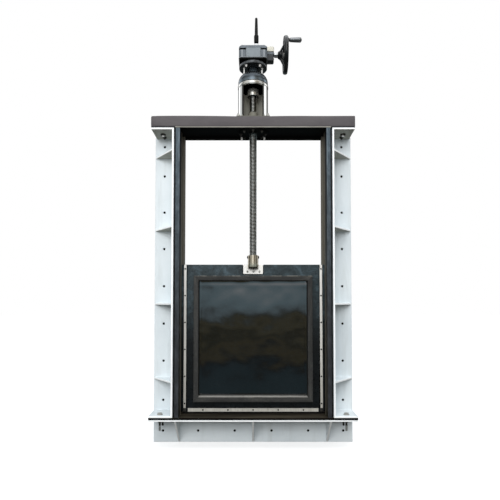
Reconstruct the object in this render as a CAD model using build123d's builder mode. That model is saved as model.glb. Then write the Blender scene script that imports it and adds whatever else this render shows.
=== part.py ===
from build123d import *
import math
import os

os.makedirs("parts", exist_ok=True)

# Wall-mounted sluice gate, millimetres, +Z up, +Y towards the wall.
# Origin: on the wall face (Y = 0), on the centre line, at the bottom edge.

# ---------------------------------------------------------------- dimensions
half_width = 1005.0        # wall flanges and bottom back plate
plate_half = 1000.0        # foot plates and top plate of the bottom beam
top_plate_half = 990.0     # top plates of the side frames
depth = 300.0              # frame, front to wall
wall_t = 18.0              # moulded walls of the white frame

beam_h = 288.0             # bottom beam
sill_t = 17.0
frame_z = beam_h + sill_t  # 305, underside of the side frames
frame_h = 2800.0
frame_top = frame_z + frame_h

web_in = 770.0             # inner face of the side frames' webs
web_out = web_in + wall_t
anchor_x = 910.0
anchor_r = 12.0
anchor_heights = [115.0, 509.0, 885.0, 1266.0, 1647.0, 2022.0, 2397.0, 2703.0]
gusset_heights = [335.0, 1085.0, 1835.0, 2585.0]
plate_bolt_x = 900.0
top_bolt_y = [-163.0, -86.0]
foot_bolt_y = [-235.0, -90.0]
plate_bolt_r = 11.0
beam_rib_x = [-745.0, 0.0, 745.0]
beam_hole_x = [-910.0, -556.0, -186.0, 186.0, 556.0, 910.0]
beam_hole_z = 112.0

rail_in = 711.0            # inner face of the guide rails
rail_seam = 752.0          # outer edge of the rail's front face
seam_depth = 40.0
rail_lip = 697.0
slot_front = -138.0
slot_back = -52.0
slot_bottom = 745.0

top_flange_t = 12.0
top_beam_h = 106.0
beam_half = 988.0          # beam without its end caps
cap_t = 5.0
top_beam_t = 12.0
beam_z = frame_top + top_flange_t
beam_top = beam_z + top_beam_h

leaf_half = 735.0
leaf_front = -130.0
leaf_back = -60.0
leaf_z0 = 328.0
leaf_z1 = 1783.0
ring_half = 580.0
ring_z0 = 440.0
ring_z1 = 1666.0
ring_w = 48.0
ring_front = -235.0
strip_t = 3.0

stem_y = -150.0
stem_r = 36.5
sleeve_bore = 39.0
sleeve_r = 44.0
guide_bore = 40.5
stem_z0 = 1792.0
stem_z1 = 3925.0
socket_r = 52.0
socket_z0 = 1738.0
socket_z1 = 1872.0
pin_z = 1854.0
pin_r = 11.0

pipe_r = 149.0
pipe_t = 10.0
base_t = 10.0
base_z = beam_top
pipe_z0 = base_z + base_t
flange_z0 = 3545.0
flange_t = 35.0
flange_r = 152.0
window_half = 97.0
adapter_z0 = flange_z0 + flange_t
adapter_z1 = 3690.0
gear_flange_z0 = 3755.0
gear_flange_t = 25.0
gear_flange_r = 140.0
gear_z0 = 3796.0
gear_groove_z = 3885.0
cover_z0 = 3900.0
cover_z1 = 3945.0
gear_half_x = 140.0
gear_half_y = 138.0
stud_x = 90.0
stud_y = 22.0
stud_r = 6.0
pinion_z0 = 3824.0
pinion_z1 = 3920.0
pinion_cap_z = 3972.0
pinion_half_y = 42.0
pinion_x1 = 209.0

axis_z = 3900.0            # handwheel axis
wheel_x = 327.0
wheel_r = 165.0            # centre of the rim's oval section
rim_axial = 22.0
rim_radial = 15.0
handle_r = 165.0
handle_angle = 3.5        # degrees from the top, towards the wall
handle_y = stem_y + handle_r * math.sin(math.radians(handle_angle))
handle_z = axis_z + handle_r * math.cos(math.radians(handle_angle))
mast_x = 32.0
mast_y = stem_y - 72.0

LOW = (Align.CENTER, Align.CENTER, Align.MIN)
CORNER = (Align.MIN, Align.MIN, Align.MIN)

# ---------------------------------------------------------------- bottom beam
# one moulding: back plate on the wall, top plate, three triangular ribs
with BuildPart() as bottom_beam:
    with Locations((-half_width, -wall_t, 0)):
        Box(2 * half_width, wall_t, beam_h, align=CORNER)
    with Locations((-plate_half, -depth, beam_h - wall_t)):
        Box(2 * plate_half, depth - wall_t, wall_t, align=CORNER)
    for x in beam_rib_x:
        with BuildSketch(Plane.YZ.offset(x - wall_t / 2)):
            with BuildLine():
                Polyline(
                    (-wall_t, 4),
                    (-wall_t, beam_h - wall_t),
                    (-depth + 6, beam_h - wall_t),
                    close=True,
                )
            make_face()
        extrude(amount=wall_t)
    with BuildSketch(Plane.XZ):
        with Locations([(x, beam_hole_z) for x in beam_hole_x]):
            Circle(anchor_r)
    extrude(amount=wall_t, mode=Mode.SUBTRACT)
    with BuildSketch(Plane.XY.offset(beam_h - wall_t)):
        with Locations(
            [(s * plate_bolt_x, y) for s in (-1, 1) for y in foot_bolt_y]
        ):
            Circle(plate_bolt_r)
    extrude(amount=wall_t, mode=Mode.SUBTRACT)
    front = bottom_beam.edges().filter_by(Axis.X).group_by(Axis.Y)[0]
    fillet(front, radius=4)
bottom_beam.part.label = "bottom_beam"
export_step(bottom_beam.part, "parts/bottom_beam.step")

# ---------------------------------------------------------------- sill plate
with BuildPart() as sill_plate:
    with BuildSketch(Plane.XY.offset(beam_h)):
        with Locations((0, -depth / 2)):
            Rectangle(2 * plate_half, depth)
        with Locations(
            [(s * plate_bolt_x, y) for s in (-1, 1) for y in foot_bolt_y]
        ):
            Circle(plate_bolt_r, mode=Mode.SUBTRACT)
    extrude(amount=sill_t)
sill_plate.part.label = "sill_plate"
export_step(sill_plate.part, "parts/sill_plate.step")

# ---------------------------------------------------------------- side frames
# one moulding a side: web, wall flange, top plate, foot plate, four gussets
with BuildPart() as right_side_frame:
    with BuildSketch(Plane.XY.offset(frame_z)):
        with BuildLine():
            Polyline(
                (web_in, 0),
                (web_in, -depth),
                (web_out, -depth),
                (web_out, -wall_t),
                (half_width, -wall_t),
                (half_width, 0),
                close=True,
            )
        make_face()
    extrude(amount=frame_h)
    for z, half, rows in (
        (frame_z, plate_half, foot_bolt_y),
        (frame_top - wall_t, top_plate_half, top_bolt_y),
    ):
        with BuildSketch(Plane.XY.offset(z)):
            with Locations((web_in, -depth)):
                Rectangle(
                    half - web_in, depth, align=(Align.MIN, Align.MIN)
                )
            with Locations([(plate_bolt_x, y) for y in rows]):
                Circle(plate_bolt_r, mode=Mode.SUBTRACT)
        extrude(amount=wall_t)
    for h in gusset_heights:
        with BuildSketch(Plane.XY.offset(frame_z + h - wall_t / 2)):
            with BuildLine():
                Polyline(
                    (web_out, -wall_t),
                    (half_width - 4, -wall_t),
                    (web_out, -depth + 6),
                    close=True,
                )
            make_face()
        extrude(amount=wall_t)
    with BuildSketch(Plane.XZ):
        with Locations([(anchor_x, frame_z + h) for h in anchor_heights]):
            Circle(anchor_r)
    extrude(amount=wall_t, mode=Mode.SUBTRACT)
right_side_frame.part.label = "right_side_frame"
export_step(right_side_frame.part, "parts/right_side_frame.step")

with BuildPart() as left_side_frame:
    add(right_side_frame.part.mirror(Plane.YZ))
left_side_frame.part.label = "left_side_frame"
export_step(left_side_frame.part, "parts/left_side_frame.step")

# ---------------------------------------------------------------- guide rails
# slotted bars inside the webs; the leaf's edge runs in the slot
with BuildPart() as right_guide_rail:
    with BuildSketch(Plane.XY.offset(frame_z)):
        with BuildLine():
            Polyline(
                (rail_in, -depth),
                (rail_seam, -depth),
                (rail_seam, -depth + seam_depth),
                (web_in, -depth + seam_depth),
                (web_in, 0),
                (rail_lip, 0),
                (rail_lip, slot_back),
                (slot_bottom, slot_back),
                (slot_bottom, slot_front),
                (rail_in, slot_front),
                close=True,
            )
        make_face()
    extrude(amount=frame_h)
    corners = (
        right_guide_rail.edges()
        .filter_by(Axis.Z)
        .filter_by(lambda e: abs(e.center().Y + depth) < 0.1)
    )
    fillet(corners, radius=3)
right_guide_rail.part.label = "right_guide_rail"
export_step(right_guide_rail.part, "parts/right_guide_rail.step")

with BuildPart() as left_guide_rail:
    add(right_guide_rail.part.mirror(Plane.YZ))
left_guide_rail.part.label = "left_guide_rail"
export_step(left_guide_rail.part, "parts/left_guide_rail.step")

# closing bar between the rails, under the beam, on the wall side
with BuildPart() as top_back_bar:
    with Locations((-rail_lip, -30, frame_top - 22)):
        Box(2 * rail_lip, 30, 22, align=CORNER)
top_back_bar.part.label = "top_back_bar"
export_step(top_back_bar.part, "parts/top_back_bar.step")

# ---------------------------------------------------------------- top beam
with BuildPart() as top_beam_flange:
    with BuildSketch(Plane.XY.offset(frame_top)):
        with Locations((0, -depth / 2)):
            Rectangle(2 * (beam_half + cap_t) - 4, depth)
        with Locations((0, stem_y)):
            Circle(45, mode=Mode.SUBTRACT)
        with Locations(
            [(s * plate_bolt_x, y) for s in (-1, 1) for y in top_bolt_y]
        ):
            Circle(plate_bolt_r, mode=Mode.SUBTRACT)
    extrude(amount=top_flange_t)
top_beam_flange.part.label = "top_beam_flange"
export_step(top_beam_flange.part, "parts/top_beam_flange.step")

with BuildPart() as top_beam:
    with BuildSketch(Plane.YZ.offset(-beam_half)):
        with Locations((-depth / 2, beam_z)):
            Rectangle(depth, top_beam_h, align=(Align.CENTER, Align.MIN))
            with Locations((0, top_beam_t)):
                Rectangle(
                    depth - 2 * top_beam_t,
                    top_beam_h - 2 * top_beam_t,
                    align=(Align.CENTER, Align.MIN),
                    mode=Mode.SUBTRACT,
                )
    extrude(amount=2 * beam_half)
    long_edges = (
        top_beam.edges()
        .filter_by(Axis.X)
        .filter_by(lambda e: e.center().Z > beam_top - 0.1)
    )
    fillet(long_edges, radius=8)
    with BuildSketch(Plane.XY.offset(beam_z)):
        with Locations((0, stem_y)):
            Circle(45)
    extrude(amount=top_beam_h, mode=Mode.SUBTRACT)
top_beam.part.label = "top_beam"
export_step(top_beam.part, "parts/top_beam.step")

for name, x in (("left_beam_cap", -beam_half - cap_t), ("right_beam_cap", beam_half)):
    with BuildPart() as cap:
        with BuildSketch(Plane.YZ.offset(x)):
            with Locations((-depth / 2, beam_z)):
                Rectangle(depth, top_beam_h, align=(Align.CENTER, Align.MIN))
        extrude(amount=cap_t)
        outer = cap.faces().sort_by(Axis.X)[0 if x < 0 else -1]
        upright = (
            cap.edges()
            .filter_by(Axis.X)
            .filter_by(lambda e: e.center().Z > beam_top - 0.1)
        )
        fillet(upright, radius=8)
    cap.part.label = name
    export_step(cap.part, "parts/" + name + ".step")

# round backing plate under the beam, around the stem
with BuildPart() as under_beam_plate:
    with BuildSketch(Plane.XY.offset(frame_top - 10)):
        with Locations((0, stem_y)):
            Circle(147)
            Circle(45, mode=Mode.SUBTRACT)
        with Locations((0, -30)):
            Rectangle(300, 60, align=(Align.CENTER, Align.MIN), mode=Mode.SUBTRACT)
    extrude(amount=10)
under_beam_plate.part.label = "under_beam_plate"
export_step(under_beam_plate.part, "parts/under_beam_plate.step")

# ---------------------------------------------------------------- pedestal
with BuildPart() as pedestal_base:
    with BuildSketch(Plane.XY.offset(base_z)):
        with Locations((0, stem_y)):
            RectangleRounded(340, 250, 40)
            Circle(45, mode=Mode.SUBTRACT)
    extrude(amount=base_t)
    fillet(pedestal_base.edges().group_by(Axis.Z)[-1].filter_by(GeomType.LINE), 3)
pedestal_base.part.label = "pedestal_base"
export_step(pedestal_base.part, "parts/pedestal_base.step")

with BuildPart() as stem_guide:
    with BuildSketch(Plane(origin=(0, stem_y, 0), x_dir=(1, 0, 0), z_dir=(0, -1, 0))):
        with BuildLine():
            Polyline(
                (guide_bore, pipe_z0),
                (54, pipe_z0),
                (54, 3272),
                (44, 3305),
                (guide_bore, 3305),
                close=True,
            )
        make_face()
    revolve(axis=Axis((0, stem_y, 0), (0, 0, 1)))
stem_guide.part.label = "stem_guide"
export_step(stem_guide.part, "parts/stem_guide.step")

# pipe with a tall window at the front
with BuildPart() as pedestal_pipe:
    with BuildSketch(Plane.XY.offset(pipe_z0)):
        with Locations((0, stem_y)):
            Circle(pipe_r)
            Circle(pipe_r - pipe_t, mode=Mode.SUBTRACT)
    extrude(amount=flange_z0 - pipe_z0)
    with Locations((-window_half, -320, pipe_z0)):
        Box(
            2 * window_half,
            320 + stem_y,
            flange_z0 - pipe_z0 - 4,
            align=CORNER,
            mode=Mode.SUBTRACT,
        )
pedestal_pipe.part.label = "pedestal_pipe"
export_step(pedestal_pipe.part, "parts/pedestal_pipe.step")

with BuildPart() as pedestal_flange:
    with BuildSketch(Plane.XY.offset(flange_z0)):
        with Locations((0, stem_y)):
            Circle(flange_r)
            Circle(50, mode=Mode.SUBTRACT)
    extrude(amount=flange_t)
    rims = (
        pedestal_flange.edges()
        .filter_by(GeomType.CIRCLE)
        .filter_by(lambda e: e.radius > 100)
    )
    fillet(rims, radius=3)
pedestal_flange.part.label = "pedestal_flange"
export_step(pedestal_flange.part, "parts/pedestal_flange.step")

# rounded shoulder between the pedestal and the gearbox
with BuildPart() as adapter_housing:
    with BuildSketch(Plane(origin=(0, stem_y, 0), x_dir=(1, 0, 0), z_dir=(0, -1, 0))):
        with BuildLine():
            l1 = Polyline((50, adapter_z0), (148, adapter_z0), (148, adapter_z0 + 27))
            l2 = ThreePointArc(
                (148, adapter_z0 + 27), (137, adapter_z0 + 70), (100, adapter_z1 - 3)
            )
            l3 = Polyline(
                (100, adapter_z1 - 3),
                (96, adapter_z1),
                (50, adapter_z1),
                (50, adapter_z0),
            )
        make_face()
    revolve(axis=Axis((0, stem_y, 0), (0, 0, 1)))
    with BuildSketch(Plane.XY.offset(3610)):
        with Locations(
            [
                (sx * stud_x, stem_y + sy * stud_y)
                for sx in (-1, 1)
                for sy in (-1, 1)
            ]
        ):
            Circle(stud_r + 0.05)
    extrude(amount=120, mode=Mode.SUBTRACT)
adapter_housing.part.label = "adapter_housing"
export_step(adapter_housing.part, "parts/adapter_housing.step")

with BuildPart() as adapter_studs:
    with BuildSketch(Plane.XY.offset(3610)):
        with Locations(
            [
                (sx * stud_x, stem_y + sy * stud_y)
                for sx in (-1, 1)
                for sy in (-1, 1)
            ]
        ):
            Circle(stud_r)
    extrude(amount=gear_flange_z0 - 3610)
adapter_studs.part.label = "adapter_studs"
export_step(adapter_studs.part, "parts/adapter_studs.step")

# ---------------------------------------------------------------- gearbox
with BuildPart() as gearbox_flange:
    with BuildSketch(Plane.XY.offset(gear_flange_z0)):
        with Locations((0, stem_y)):
            Circle(gear_flange_r)
    extrude(amount=gear_flange_t)
    rims = gearbox_flange.edges().filter_by(GeomType.CIRCLE)
    fillet(rims, radius=3)
    with BuildSketch(Plane.XY.offset(gear_flange_z0 + gear_flange_t)):
        with Locations((0, stem_y)):
            Circle(122)
    extrude(amount=gear_z0 - gear_flange_z0 - gear_flange_t)
    with BuildSketch(Plane.XY.offset(gear_flange_z0)):
        with Locations((0, stem_y)):
            Circle(55)
    extrude(amount=gear_z0 - gear_flange_z0, mode=Mode.SUBTRACT)
gearbox_flange.part.label = "gearbox_flange"
export_step(gearbox_flange.part, "parts/gearbox_flange.step")

with BuildPart() as gearbox_body:
    with BuildSketch(Plane.XY.offset(gear_z0)):
        with Locations((0, stem_y)):
            RectangleRounded(2 * gear_half_x, 2 * gear_half_y, 26)
    extrude(amount=gear_groove_z - gear_z0)
    with BuildSketch(Plane.XY.offset(gear_groove_z)):
        with Locations((0, stem_y)):
            RectangleRounded(2 * gear_half_x - 16, 2 * gear_half_y - 16, 20)
    extrude(amount=cover_z0 - gear_groove_z)
    with BuildSketch(Plane.XY.offset(gear_z0)):
        with Locations((0, stem_y)):
            RectangleRounded(2 * gear_half_x + 4, 2 * gear_half_y + 4, 28)
    extrude(amount=17)
    with BuildSketch(Plane.XY.offset(gear_z0)):
        with Locations((0, stem_y)):
            Circle(55)
    extrude(amount=cover_z0 - gear_z0, mode=Mode.SUBTRACT)
gearbox_body.part.label = "gearbox_body"
export_step(gearbox_body.part, "parts/gearbox_body.step")

with BuildPart() as gearbox_cover:
    with BuildSketch(Plane.XY.offset(cover_z0)):
        with Locations((0, stem_y)):
            RectangleRounded(2 * gear_half_x, 2 * gear_half_y, 26)
    extrude(amount=cover_z1 - cover_z0)
    fillet(gearbox_cover.edges().group_by(Axis.Z)[-1], radius=25)
    with BuildSketch(Plane.XY.offset(cover_z1)):
        with Locations((0, stem_y)):
            Circle(48)
    extrude(amount=14)
    with BuildSketch(Plane.XY.offset(cover_z0)):
        with Locations((0, stem_y)):
            Circle(39)
    extrude(amount=cover_z1 + 14 - cover_z0, mode=Mode.SUBTRACT)
gearbox_cover.part.label = "gearbox_cover"
export_step(gearbox_cover.part, "parts/gearbox_cover.step")

with BuildPart() as name_plate:
    with BuildSketch(Plane.XZ.offset(-(stem_y - gear_half_y - 2))):
        with Locations((2, (gear_z0 + 17 + cover_z0 + 2) / 2)):
            RectangleRounded(148, cover_z0 + 2 - gear_z0 - 17, 3)
    extrude(amount=2)
name_plate.part.label = "name_plate"
export_step(name_plate.part, "parts/name_plate.step")

with BuildPart() as pinion_housing:
    with BuildSketch(Plane.XY.offset(pinion_z0)):
        with Locations((gear_half_x + 2, stem_y)):
            Rectangle(
                pinion_x1 - gear_half_x - 2,
                2 * pinion_half_y,
                align=(Align.MIN, Align.CENTER),
            )
    extrude(amount=pinion_z1 - pinion_z0)
    fillet(
        pinion_housing.edges()
        .filter_by(Axis.Z)
        .filter_by(lambda e: e.center().X > gear_half_x + 10),
        radius=12,
    )
    fillet(
        pinion_housing.edges()
        .group_by(Axis.Z)[0]
        .filter_by(lambda e: e.center().X > gear_half_x + 10),
        radius=6,
    )
    with BuildSketch(Plane.YZ.offset(170)):
        with Locations((stem_y, axis_z)):
            Circle(16)
    extrude(amount=60, mode=Mode.SUBTRACT)
pinion_housing.part.label = "pinion_housing"
export_step(pinion_housing.part, "parts/pinion_housing.step")

with BuildPart() as pinion_cap:
    with BuildSketch(Plane.XY.offset(pinion_z1)):
        with Locations((gear_half_x + 2, stem_y)):
            Rectangle(
                pinion_x1 - gear_half_x - 2,
                2 * pinion_half_y,
                align=(Align.MIN, Align.CENTER),
            )
    extrude(amount=pinion_cap_z - pinion_z1)
    fillet(
        pinion_cap.edges()
        .filter_by(Axis.Z)
        .filter_by(lambda e: e.center().X > gear_half_x + 10),
        radius=12,
    )
    fillet(pinion_cap.edges().group_by(Axis.Z)[-1], radius=5)
pinion_cap.part.label = "pinion_cap"
export_step(pinion_cap.part, "parts/pinion_cap.step")

# mast on the gearbox cover, in front of the stem's bore
with BuildPart() as mast_base:
    with BuildSketch(Plane(origin=(mast_x, mast_y, 0), x_dir=(1, 0, 0), z_dir=(0, -1, 0))):
        with BuildLine():
            Polyline(
                (0, cover_z1),
                (27, cover_z1),
                (25, cover_z1 + 6),
                (12, 3986),
                (0, 3986),
                close=True,
            )
        make_face()
    revolve(axis=Axis((mast_x, mast_y, 0), (0, 0, 1)))
mast_base.part.label = "mast_base"
export_step(mast_base.part, "parts/mast_base.step")

with BuildPart() as mast_sleeve:
    with BuildSketch(Plane(origin=(mast_x, mast_y, 0), x_dir=(1, 0, 0), z_dir=(0, -1, 0))):
        with BuildLine():
            Polyline(
                (0, 3986),
                (22, 3986),
                (23, 3992),
                (23, 4052),
                (17, 4066),
                (0, 4066),
                close=True,
            )
        make_face()
    revolve(axis=Axis((mast_x, mast_y, 0), (0, 0, 1)))
mast_sleeve.part.label = "mast_sleeve"
export_step(mast_sleeve.part, "parts/mast_sleeve.step")

with BuildPart() as mast_rod:
    with BuildSketch(Plane(origin=(mast_x, mast_y, 0), x_dir=(1, 0, 0), z_dir=(0, -1, 0))):
        with BuildLine():
            Polyline(
                (0, 4066),
                (16.5, 4066),
                (16, 4120),
                (12.5, 4232),
                (9, 4240),
                (0, 4240),
                close=True,
            )
        make_face()
    revolve(axis=Axis((mast_x, mast_y, 0), (0, 0, 1)))
mast_rod.part.label = "mast_rod"
export_step(mast_rod.part, "parts/mast_rod.step")

# ---------------------------------------------------------------- leaf
with BuildPart() as leaf_panel:
    with Locations((-leaf_half, leaf_front, leaf_z0)):
        Box(
            2 * leaf_half,
            leaf_back - leaf_front,
            leaf_z1 - leaf_z0,
            align=CORNER,
        )
    with Locations((-104, leaf_front, 1683)):
        Box(208, 54, 200, align=CORNER, mode=Mode.SUBTRACT)
leaf_panel.part.label = "leaf_panel"
export_step(leaf_panel.part, "parts/leaf_panel.step")

with BuildPart() as leaf_ring:
    with BuildSketch(Plane.XZ.offset(-leaf_front)):
        with Locations((0, (ring_z0 + ring_z1) / 2)):
            Rectangle(2 * ring_half, ring_z1 - ring_z0)
            Rectangle(
                2 * ring_half - 2 * ring_w,
                ring_z1 - ring_z0 - 2 * ring_w,
                mode=Mode.SUBTRACT,
            )
    extrude(amount=leaf_front - ring_front)
    fillet(leaf_ring.faces().sort_by(Axis.Y)[0].edges(), radius=5)
leaf_ring.part.label = "leaf_ring"
export_step(leaf_ring.part, "parts/leaf_ring.step")

for name, x in (("left_edge_strip", -692.0), ("right_edge_strip", 661.0)):
    with BuildPart() as strip:
        with Locations((x, leaf_front - strip_t, leaf_z0)):
            Box(31, strip_t, leaf_z1 - leaf_z0, align=CORNER)
    strip.part.label = name
    export_step(strip.part, "parts/" + name + ".step")

with BuildPart() as bottom_strip:
    with Locations((-645, leaf_front - strip_t, leaf_z0)):
        Box(1290, strip_t, 34, align=CORNER)
bottom_strip.part.label = "bottom_strip"
export_step(bottom_strip.part, "parts/bottom_strip.step")

with BuildPart() as bottom_seal:
    with Locations((-692, leaf_front + 6, 310)):
        Box(1384, 58, leaf_z0 - 310, align=CORNER)
    fillet(
        bottom_seal.edges().filter_by(Axis.X).group_by(Axis.Z)[0], radius=8
    )
bottom_seal.part.label = "bottom_seal"
export_step(bottom_seal.part, "parts/bottom_seal.step")

with BuildPart() as lifting_bracket:
    with Locations((-98, -136, 1689)):
        Box(196, 60, 93, align=CORNER)
    with BuildSketch(Plane.XY.offset(socket_z0)):
        with Locations((0, stem_y)):
            Circle(socket_r + 0.05)
    extrude(amount=80, mode=Mode.SUBTRACT)
lifting_bracket.part.label = "lifting_bracket"
export_step(lifting_bracket.part, "parts/lifting_bracket.step")

with BuildPart() as stem_socket:
    with BuildSketch(Plane.XY.offset(socket_z0)):
        with Locations((0, stem_y)):
            Circle(socket_r)
    extrude(amount=socket_z1 - socket_z0)
    fillet(stem_socket.edges().group_by(Axis.Z)[0], radius=18)
    chamfer(stem_socket.edges().group_by(Axis.Z)[-1], length=4)
    with BuildSketch(Plane.XY.offset(stem_z0)):
        with Locations((0, stem_y)):
            Circle(stem_r + 0.05)
    extrude(amount=200, mode=Mode.SUBTRACT)
    with BuildSketch(Plane.YZ.offset(-80)):
        with Locations((stem_y, pin_z)):
            Circle(pin_r + 0.05)
    extrude(amount=160, mode=Mode.SUBTRACT)
stem_socket.part.label = "stem_socket"
export_step(stem_socket.part, "parts/stem_socket.step")

with BuildPart() as coupling_pin:
    with BuildSketch(Plane.YZ.offset(-60)):
        with Locations((stem_y, pin_z)):
            Circle(pin_r)
    extrude(amount=120)
    chamfer(coupling_pin.edges(), length=2)
coupling_pin.part.label = "coupling_pin"
export_step(coupling_pin.part, "parts/coupling_pin.step")

with BuildPart() as stem:
    with BuildSketch(Plane.XY.offset(stem_z0)):
        with Locations((0, stem_y)):
            Circle(stem_r)
    extrude(amount=stem_z1 - stem_z0)
    chamfer(stem.edges().group_by(Axis.Z)[-1], length=3)
    with BuildSketch(Plane.YZ.offset(-80)):
        with Locations((stem_y, pin_z)):
            Circle(pin_r + 0.05)
    extrude(amount=160, mode=Mode.SUBTRACT)
stem.part.label = "stem"
export_step(stem.part, "parts/stem.step")

# ---------------------------------------------------------------- drive sleeve
# turning nut sleeve around the stem, from below the pedestal flange up
with BuildPart() as drive_sleeve:
    with BuildSketch(Plane(origin=(0, stem_y, 0), x_dir=(1, 0, 0), z_dir=(0, -1, 0))):
        with BuildLine():
            Polyline(
                (sleeve_bore, 3469),
                (55, 3469),
                (58, 3472),
                (58, 3534),
                (52, 3540),
                (sleeve_r, 3540),
                (sleeve_r, 3860),
                (sleeve_bore, 3860),
                close=True,
            )
        make_face()
    revolve(axis=Axis((0, stem_y, 0), (0, 0, 1)))
drive_sleeve.part.label = "drive_sleeve"
export_step(drive_sleeve.part, "parts/drive_sleeve.step")

# ---------------------------------------------------------------- handwheel
with BuildPart() as pinion_shaft:
    with BuildSketch(Plane(origin=(0, stem_y, axis_z), x_dir=(1, 0, 0), z_dir=(0, -1, 0))):
        with BuildLine():
            Polyline(
                (178, 0),
                (178, 15),
                (213, 15),
                (213, 24),
                (250, 24),
                (250, 15),
                (306, 15),
                (306, 0),
                close=True,
            )
        make_face()
    revolve(axis=Axis((0, stem_y, axis_z), (1, 0, 0)))
pinion_shaft.part.label = "pinion_shaft"
export_step(pinion_shaft.part, "parts/pinion_shaft.step")

with BuildPart() as handwheel:
    # dished web, kept only where the three spokes are
    with BuildSketch(Plane(origin=(0, stem_y, axis_z), x_dir=(1, 0, 0), z_dir=(0, -1, 0))):
        with BuildLine():
            Polyline(
                (262, 30),
                (292, 30),
                (304, 80),
                (322, 130),
                (336, wheel_r),
                (316, wheel_r),
                (302, 130),
                (282, 80),
                close=True,
            )
        make_face()
    revolve(axis=Axis((0, stem_y, axis_z), (1, 0, 0)))
    with BuildSketch(Plane.YZ.offset(200)):
        with Locations((stem_y, axis_z)):
            with PolarLocations(0, 3, start_angle=90 - handle_angle + 60):
                Rectangle(220, 48, align=(Align.MIN, Align.CENTER))
    extrude(amount=200, mode=Mode.INTERSECT)
    # hub
    with BuildSketch(Plane(origin=(0, stem_y, axis_z), x_dir=(1, 0, 0), z_dir=(0, -1, 0))):
        with BuildLine():
            Polyline(
                (250, 15.05),
                (250, 32),
                (262, 38),
                (278, 47),
                (296, 42),
                (302, 30),
                (302, 15.05),
                close=True,
            )
        make_face()
    revolve(axis=Axis((0, stem_y, axis_z), (1, 0, 0)))
    # rim
    with BuildSketch(Plane(origin=(0, stem_y, axis_z), x_dir=(1, 0, 0), z_dir=(0, -1, 0))):
        with Locations((wheel_x, wheel_r)):
            Ellipse(rim_axial, rim_radial)
    revolve(axis=Axis((0, stem_y, axis_z), (1, 0, 0)))
    # boss for the handle's spindle
    with BuildSketch(Plane.YZ.offset(316)):
        with Locations((handle_y, handle_z)):
            Circle(22)
    extrude(amount=50)
    with BuildSketch(Plane.YZ.offset(300)):
        with Locations((handle_y, handle_z)):
            Circle(8.05)
    extrude(amount=80, mode=Mode.SUBTRACT)
    with BuildSketch(Plane.YZ.offset(240)):
        with Locations((stem_y, axis_z)):
            Circle(15.05)
    extrude(amount=70, mode=Mode.SUBTRACT)
handwheel.part.label = "handwheel"
export_step(handwheel.part, "parts/handwheel.step")

with BuildPart() as handle_spindle:
    with BuildSketch(Plane.YZ.offset(314)):
        with Locations((handle_y, handle_z)):
            Circle(8)
    extrude(amount=489 - 314)
    with BuildSketch(Plane.YZ.offset(489)):
        with Locations((handle_y, handle_z)):
            Circle(12)
    extrude(amount=4)
handle_spindle.part.label = "handle_spindle"
export_step(handle_spindle.part, "parts/handle_spindle.step")

with BuildPart() as handwheel_grip:
    with BuildSketch(
        Plane(origin=(0, handle_y, handle_z), x_dir=(1, 0, 0), z_dir=(0, -1, 0))
    ):
        with BuildLine():
            Polyline(
                (368, 8.5),
                (368, 17),
                (373, 21),
                (446, 24),
                (476, 25),
                (485, 22),
                (488, 16),
                (488, 8.5),
                close=True,
            )
        make_face()
    revolve(axis=Axis((0, handle_y, handle_z), (1, 0, 0)))
handwheel_grip.part.label = "handwheel_grip"
export_step(handwheel_grip.part, "parts/handwheel_grip.step")
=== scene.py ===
import math
import random

import bmesh
import bpy
from mathutils import Matrix, Vector, noise

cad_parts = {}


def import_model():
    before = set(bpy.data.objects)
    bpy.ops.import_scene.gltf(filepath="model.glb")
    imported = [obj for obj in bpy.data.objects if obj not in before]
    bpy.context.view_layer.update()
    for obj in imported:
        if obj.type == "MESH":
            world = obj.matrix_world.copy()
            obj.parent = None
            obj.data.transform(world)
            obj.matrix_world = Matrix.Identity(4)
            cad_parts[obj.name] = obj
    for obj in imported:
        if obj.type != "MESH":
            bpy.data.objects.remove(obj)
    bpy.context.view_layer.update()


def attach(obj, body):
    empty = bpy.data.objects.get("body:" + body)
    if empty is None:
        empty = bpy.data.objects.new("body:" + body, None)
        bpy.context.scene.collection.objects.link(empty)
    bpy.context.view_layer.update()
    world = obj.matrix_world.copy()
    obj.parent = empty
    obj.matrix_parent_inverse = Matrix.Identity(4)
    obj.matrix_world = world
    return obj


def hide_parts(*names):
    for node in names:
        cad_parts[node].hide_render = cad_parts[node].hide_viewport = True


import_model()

scene = bpy.context.scene
STEM_Y = -0.150
AXIS_Z = 3.900

# ------------------------------------------------------------------ camera
cam_data = bpy.data.cameras.new("camera")
cam = bpy.data.objects.new("camera", cam_data)
scene.collection.objects.link(cam)
scene.camera = cam
cam_data.sensor_width = 36.0
cam_data.sensor_fit = "HORIZONTAL"
cam_data.lens = 36.0 * 465.0 / 500.0
cam_data.shift_x = -3.1 / 500.0
cam_data.shift_y = 38.26 / 500.0
cam_data.clip_end = 200.0
cam.location = (0.0, -4.762, 1.385)
cam.rotation_euler = (math.radians(92.0), 0.0, 0.0)


# ------------------------------------------------------------------ materials
def lin(r, g, b):
    def one(c):
        c /= 255.0
        return c / 12.92 if c <= 0.04045 else ((c + 0.055) / 1.055) ** 2.4

    return (one(r), one(g), one(b), 1.0)


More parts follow.
